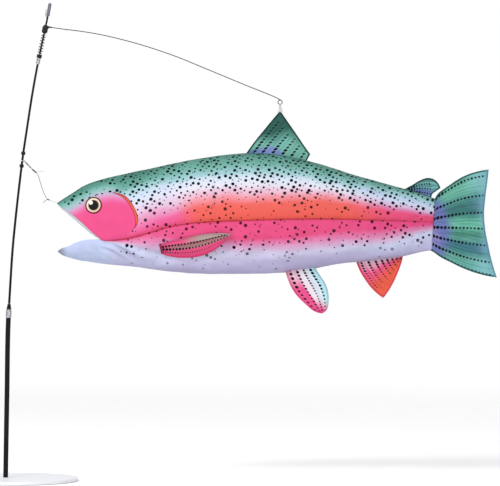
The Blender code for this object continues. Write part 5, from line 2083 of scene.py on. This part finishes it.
@dataclass
class NoseLine(Assembly):
    """What ties the nose to the pole: a ring, a barrel swivel, two knots with their tags, and a thin line."""

    ring_height: float = 547.4
    ring_radius: float = 3.9
    ring_wire: float = 0.45
    slope: float = -45.5
    barrel: Pair = (1.25, 10.6)
    barrel_shape: Pairs = (
        (0, 0), (0.45, 0), (0.5, 0.05), (0.62, 0.09), (0.96, 0.19), (1, 0.25), (1, 0.75), (0.96, 0.81),
        (0.62, 0.91), (0.5, 0.95), (0.45, 1), (0, 1),
    )
    eye: float = 1.35
    loop: Pair = (2.6, 0.5)
    route: Pairs = ((53.9, 526.2), (57.2, 520.2), (59.6, 511.6), (63.0, 500.7), (66.5, 491.4), (71.1, 482.3))
    line: float = 0.45
    cord: float = 0.4
    core: float = 0.75
    taper: float = 0.22
    upper: Pairs = ((45.8, 533.1), (53.2, 526.8))
    upper_wraps: tuple[float, int] = (1.5, 5)
    lower_wraps: tuple[float, int] = (1.1, 4)
    upper_tag: Pairs = ((53.0, 527.4), (57.5, 528.9), (62.0, 529.6), (66.6, 529.3))
    lower: Pairs = ((71.5, 481.3), (76.3, 479.4))
    lower_tag: Pairs = ((72.0, 480.6), (69.6, 479.2), (67.4, 477.6), (64.9, 475.2))
    lead: Pairs = ((76.0, 479.5), (80.4, 478.0), (84.4, 476.2), (87.6, 474.4))

    def build_line(self) -> None:
        """Makes the line as one open curve with its real thickness."""
        data = bpy.data.curves.new("nose_cord", "CURVE")
        data.dimensions = "3D"
        data.bevel_depth = self.line * MM
        data.bevel_resolution = 4
        data.use_fill_caps = True
        path = even_path(in_plane(self.route), 40)
        spline = data.splines.new("POLY")
        spline.points.add(len(path) - 1)
        spline.points.foreach_set("co", np.pad(path, ((0, 0), (0, 1)), constant_values=1).reshape(-1))
        spline.use_smooth = True
        self.curve = bpy.data.objects.new("nose_cord", data)
        bpy.context.collection.objects.link(self.curve)

    def strand(self, route: Pairs) -> Surface:
        """Lays a loose end of cord along a route."""
        return tube(even_path(in_plane(route), 30), self.cord * MM, 12)

    def knot(self, ends: Pairs, radius: float, turns: int) -> list[Surface]:
        """Wraps a knot: a core between two ends, and a cord wound round it in close turns.

        Args:
            ends: the knot's two ends as (x, height).
            radius: the knot's radius over its turns in millimetres.
            turns: how many turns there are.

        Returns:
            The core and the winding.
        """
        start, end = in_plane(ends) / MM
        way = unit(end - start)
        share = np.linspace(0.04, 0.96, 40 * turns)
        reach = (radius - self.cord) * (1 - self.taper * (bell(share, 0, 0.12) + bell(share, 1, 0.12)))
        wound = reach[:, None] * circle(tau * turns * share, np.cross(ACROSS, way), ACROSS)
        path = start + share[:, None] * (end - start) + wound
        core = np.linspace(0, 1, 12)[:, None] * (end - start) + start
        return [tube(core * MM, self.core * (radius - self.cord) * MM, 14), tube(path * MM, self.cord * MM, 10, way)]

    def build(self) -> None:
        """Makes the line, the ring round the pole, the swivel with an eye at each end, and the two knots."""
        self.build_line()
        ring, hub = (pole_axis(height).foot for height in (self.ring_height, Arm.height))
        way = unit(hub - ring)
        loop = tube(ring_path(ring, self.ring_radius * MM, *Axis(ring, way).sides(), 97), self.ring_wire * MM, 12, way)
        slope = math.radians(self.slope)
        down = np.array([math.cos(slope), 0, math.sin(slope)])
        upright = np.cross(ACROSS, down)
        first = ring / MM + self.ring_radius * np.array([way[2], 0, -way[0]]) + 0.4 * down
        last = first + (self.barrel[1] + 2 * self.eye) * down
        barrel = rounded(np.array(self.barrel_shape) * self.barrel, 0.15)
        swivel = [turned(Axis((first + self.eye * down) * MM, down), barrel * MM, 36)]
        for eye in (first, last):
            swivel.append(tube(ring_path(eye * MM, self.eye * MM, down, upright), self.ring_wire * MM, 10))
        centre = last + (self.loop[0] + 0.1) * down
        tied = tube(ring_path(centre, self.loop[0], down, self.loop[1] * ACROSS, 60) * MM, self.cord * MM, 10, upright)
        self.add("pole_ring", loop, Finish.BRIGHT, "nose_ring")
        self.add("barrel_swivel", swivel, Finish.OLIVE, "line_swivel")
        upper, lower = self.knot(self.upper, *self.upper_wraps), self.knot(self.lower, *self.lower_wraps)
        self.knots = [
            Part("upper_cord_knot", [*upper, tied], Finish.BLACK_CORD, ("knot_upper",)),
            Part("pale_tag", [self.strand(self.upper_tag)], Finish.PALE_CORD),
            Part("lower_cord_knot", [*lower, self.strand(self.lower_tag)], Finish.BLACK_CORD, ("knot_lower",)),
            Part("nose_lead", [self.strand(self.lead)], Finish.PALE_CORD),
        ]

    def dress(self) -> None:
        super().dress()
        self.curve.data.materials.append(Finish.GREY_LINE.material())
        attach(self.curve, SWIVEL_BODY)
        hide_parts("nose_line")
        path = even_path(in_plane(self.route), 200)
        knots = tuple(part.make() for part in self.knots)
        float(walked(path)[-1])
        2 * self.line * MM
        log.info("made nose_cord")


# --- camera, floor and light ---


@dataclass
class Studio:
    """The camera and the soft daylight set, with a pale floor that fades into the white around it."""

    eye: Triple = (0.4228, -6.0, 0.4113)
    lens: float = 249.7
    sensor: float = 36.0
    farthest: float = 100.0
    world: float = 1.0
    target: Triple = (0.42, 0.0, 0.45)
    key: tuple[Triple, float, float] = ((-1.5, -2.6, 2.7), 1.0, 98.0)
    fill: tuple[Triple, float, float] = ((1.3, -3.4, 0.3), 1.4, 30.0)

    def hang(self, data: bpy.types.ID, place: Sequence[float], turn: Sequence[float]) -> bpy.types.Object:
        """Puts a camera or a lamp in its place and turns it by three angles."""
        thing = bpy.data.objects.new(data.name, data)
        thing.location = place
        thing.rotation_euler = turn
        bpy.context.collection.objects.link(thing)
        return thing

    def build_camera(self) -> None:
        """Sets up the level camera that looks along +Y."""
        data = bpy.data.cameras.new("camera")
        data.lens = self.lens
        data.sensor_width = self.sensor
        data.clip_end = self.farthest
        bpy.context.scene.camera = self.hang(data, self.eye, (pi / 2, 0, 0))

    def lamp(self, name: str, place: Triple, size: float, power: float) -> None:
        """Hangs one square lamp that faces the middle of the fish."""
        data = bpy.data.lights.new(name, "AREA")
        data.energy = power
        data.size = size
        way = Vector(self.target) - Vector(place)
        self.hang(data, place, way.to_track_quat("-Z", "Y").to_euler())

    def build(self) -> None:
        """Lights the white room and lays the floor."""
        scene = bpy.context.scene
        scene.world = bpy.data.worlds.new("white_room")
        scene.world.use_nodes = True
        light = scene.world.node_tree.nodes["Background"].inputs
        light["Color"].default_value = (1, 1, 1, 1)
        light["Strength"].default_value = self.world
        scene.view_settings.view_transform = "Standard"
        self.lamp("key", *self.key)
        self.lamp("fill", *self.fill)
        rings = np.linspace(Finish.FLOOR.value.rim, 0.001, 40)
        floor = turned(Axis(-0.0005 * UPRIGHT, UPRIGHT), [(r, 0) for r in rings], 96)
        self.floor = make_piece("floor", [floor])

    def dress(self) -> None:
        """Gives the floor its finish."""
        self.floor.data.materials.append(Finish.FLOOR.material())


def main() -> None:
    """Makes the camera and the cord first, then each sub-assembly in turn."""
    logging.basicConfig(level=logging.INFO, format="%(message)s")
    studio = Studio()
    studio.build_camera()
    for assembly in (
        NoseLine(), Base(), Pole(), PoleFittings(), Arm(), Ribbon(), ClothBody(), MouthBinding(),
        Eye(Side.NEAR), Eye(Side.FAR), Fins(), studio,
    ):
        assembly.build()
        assembly.dress()


if __name__ == "__main__":
    main()
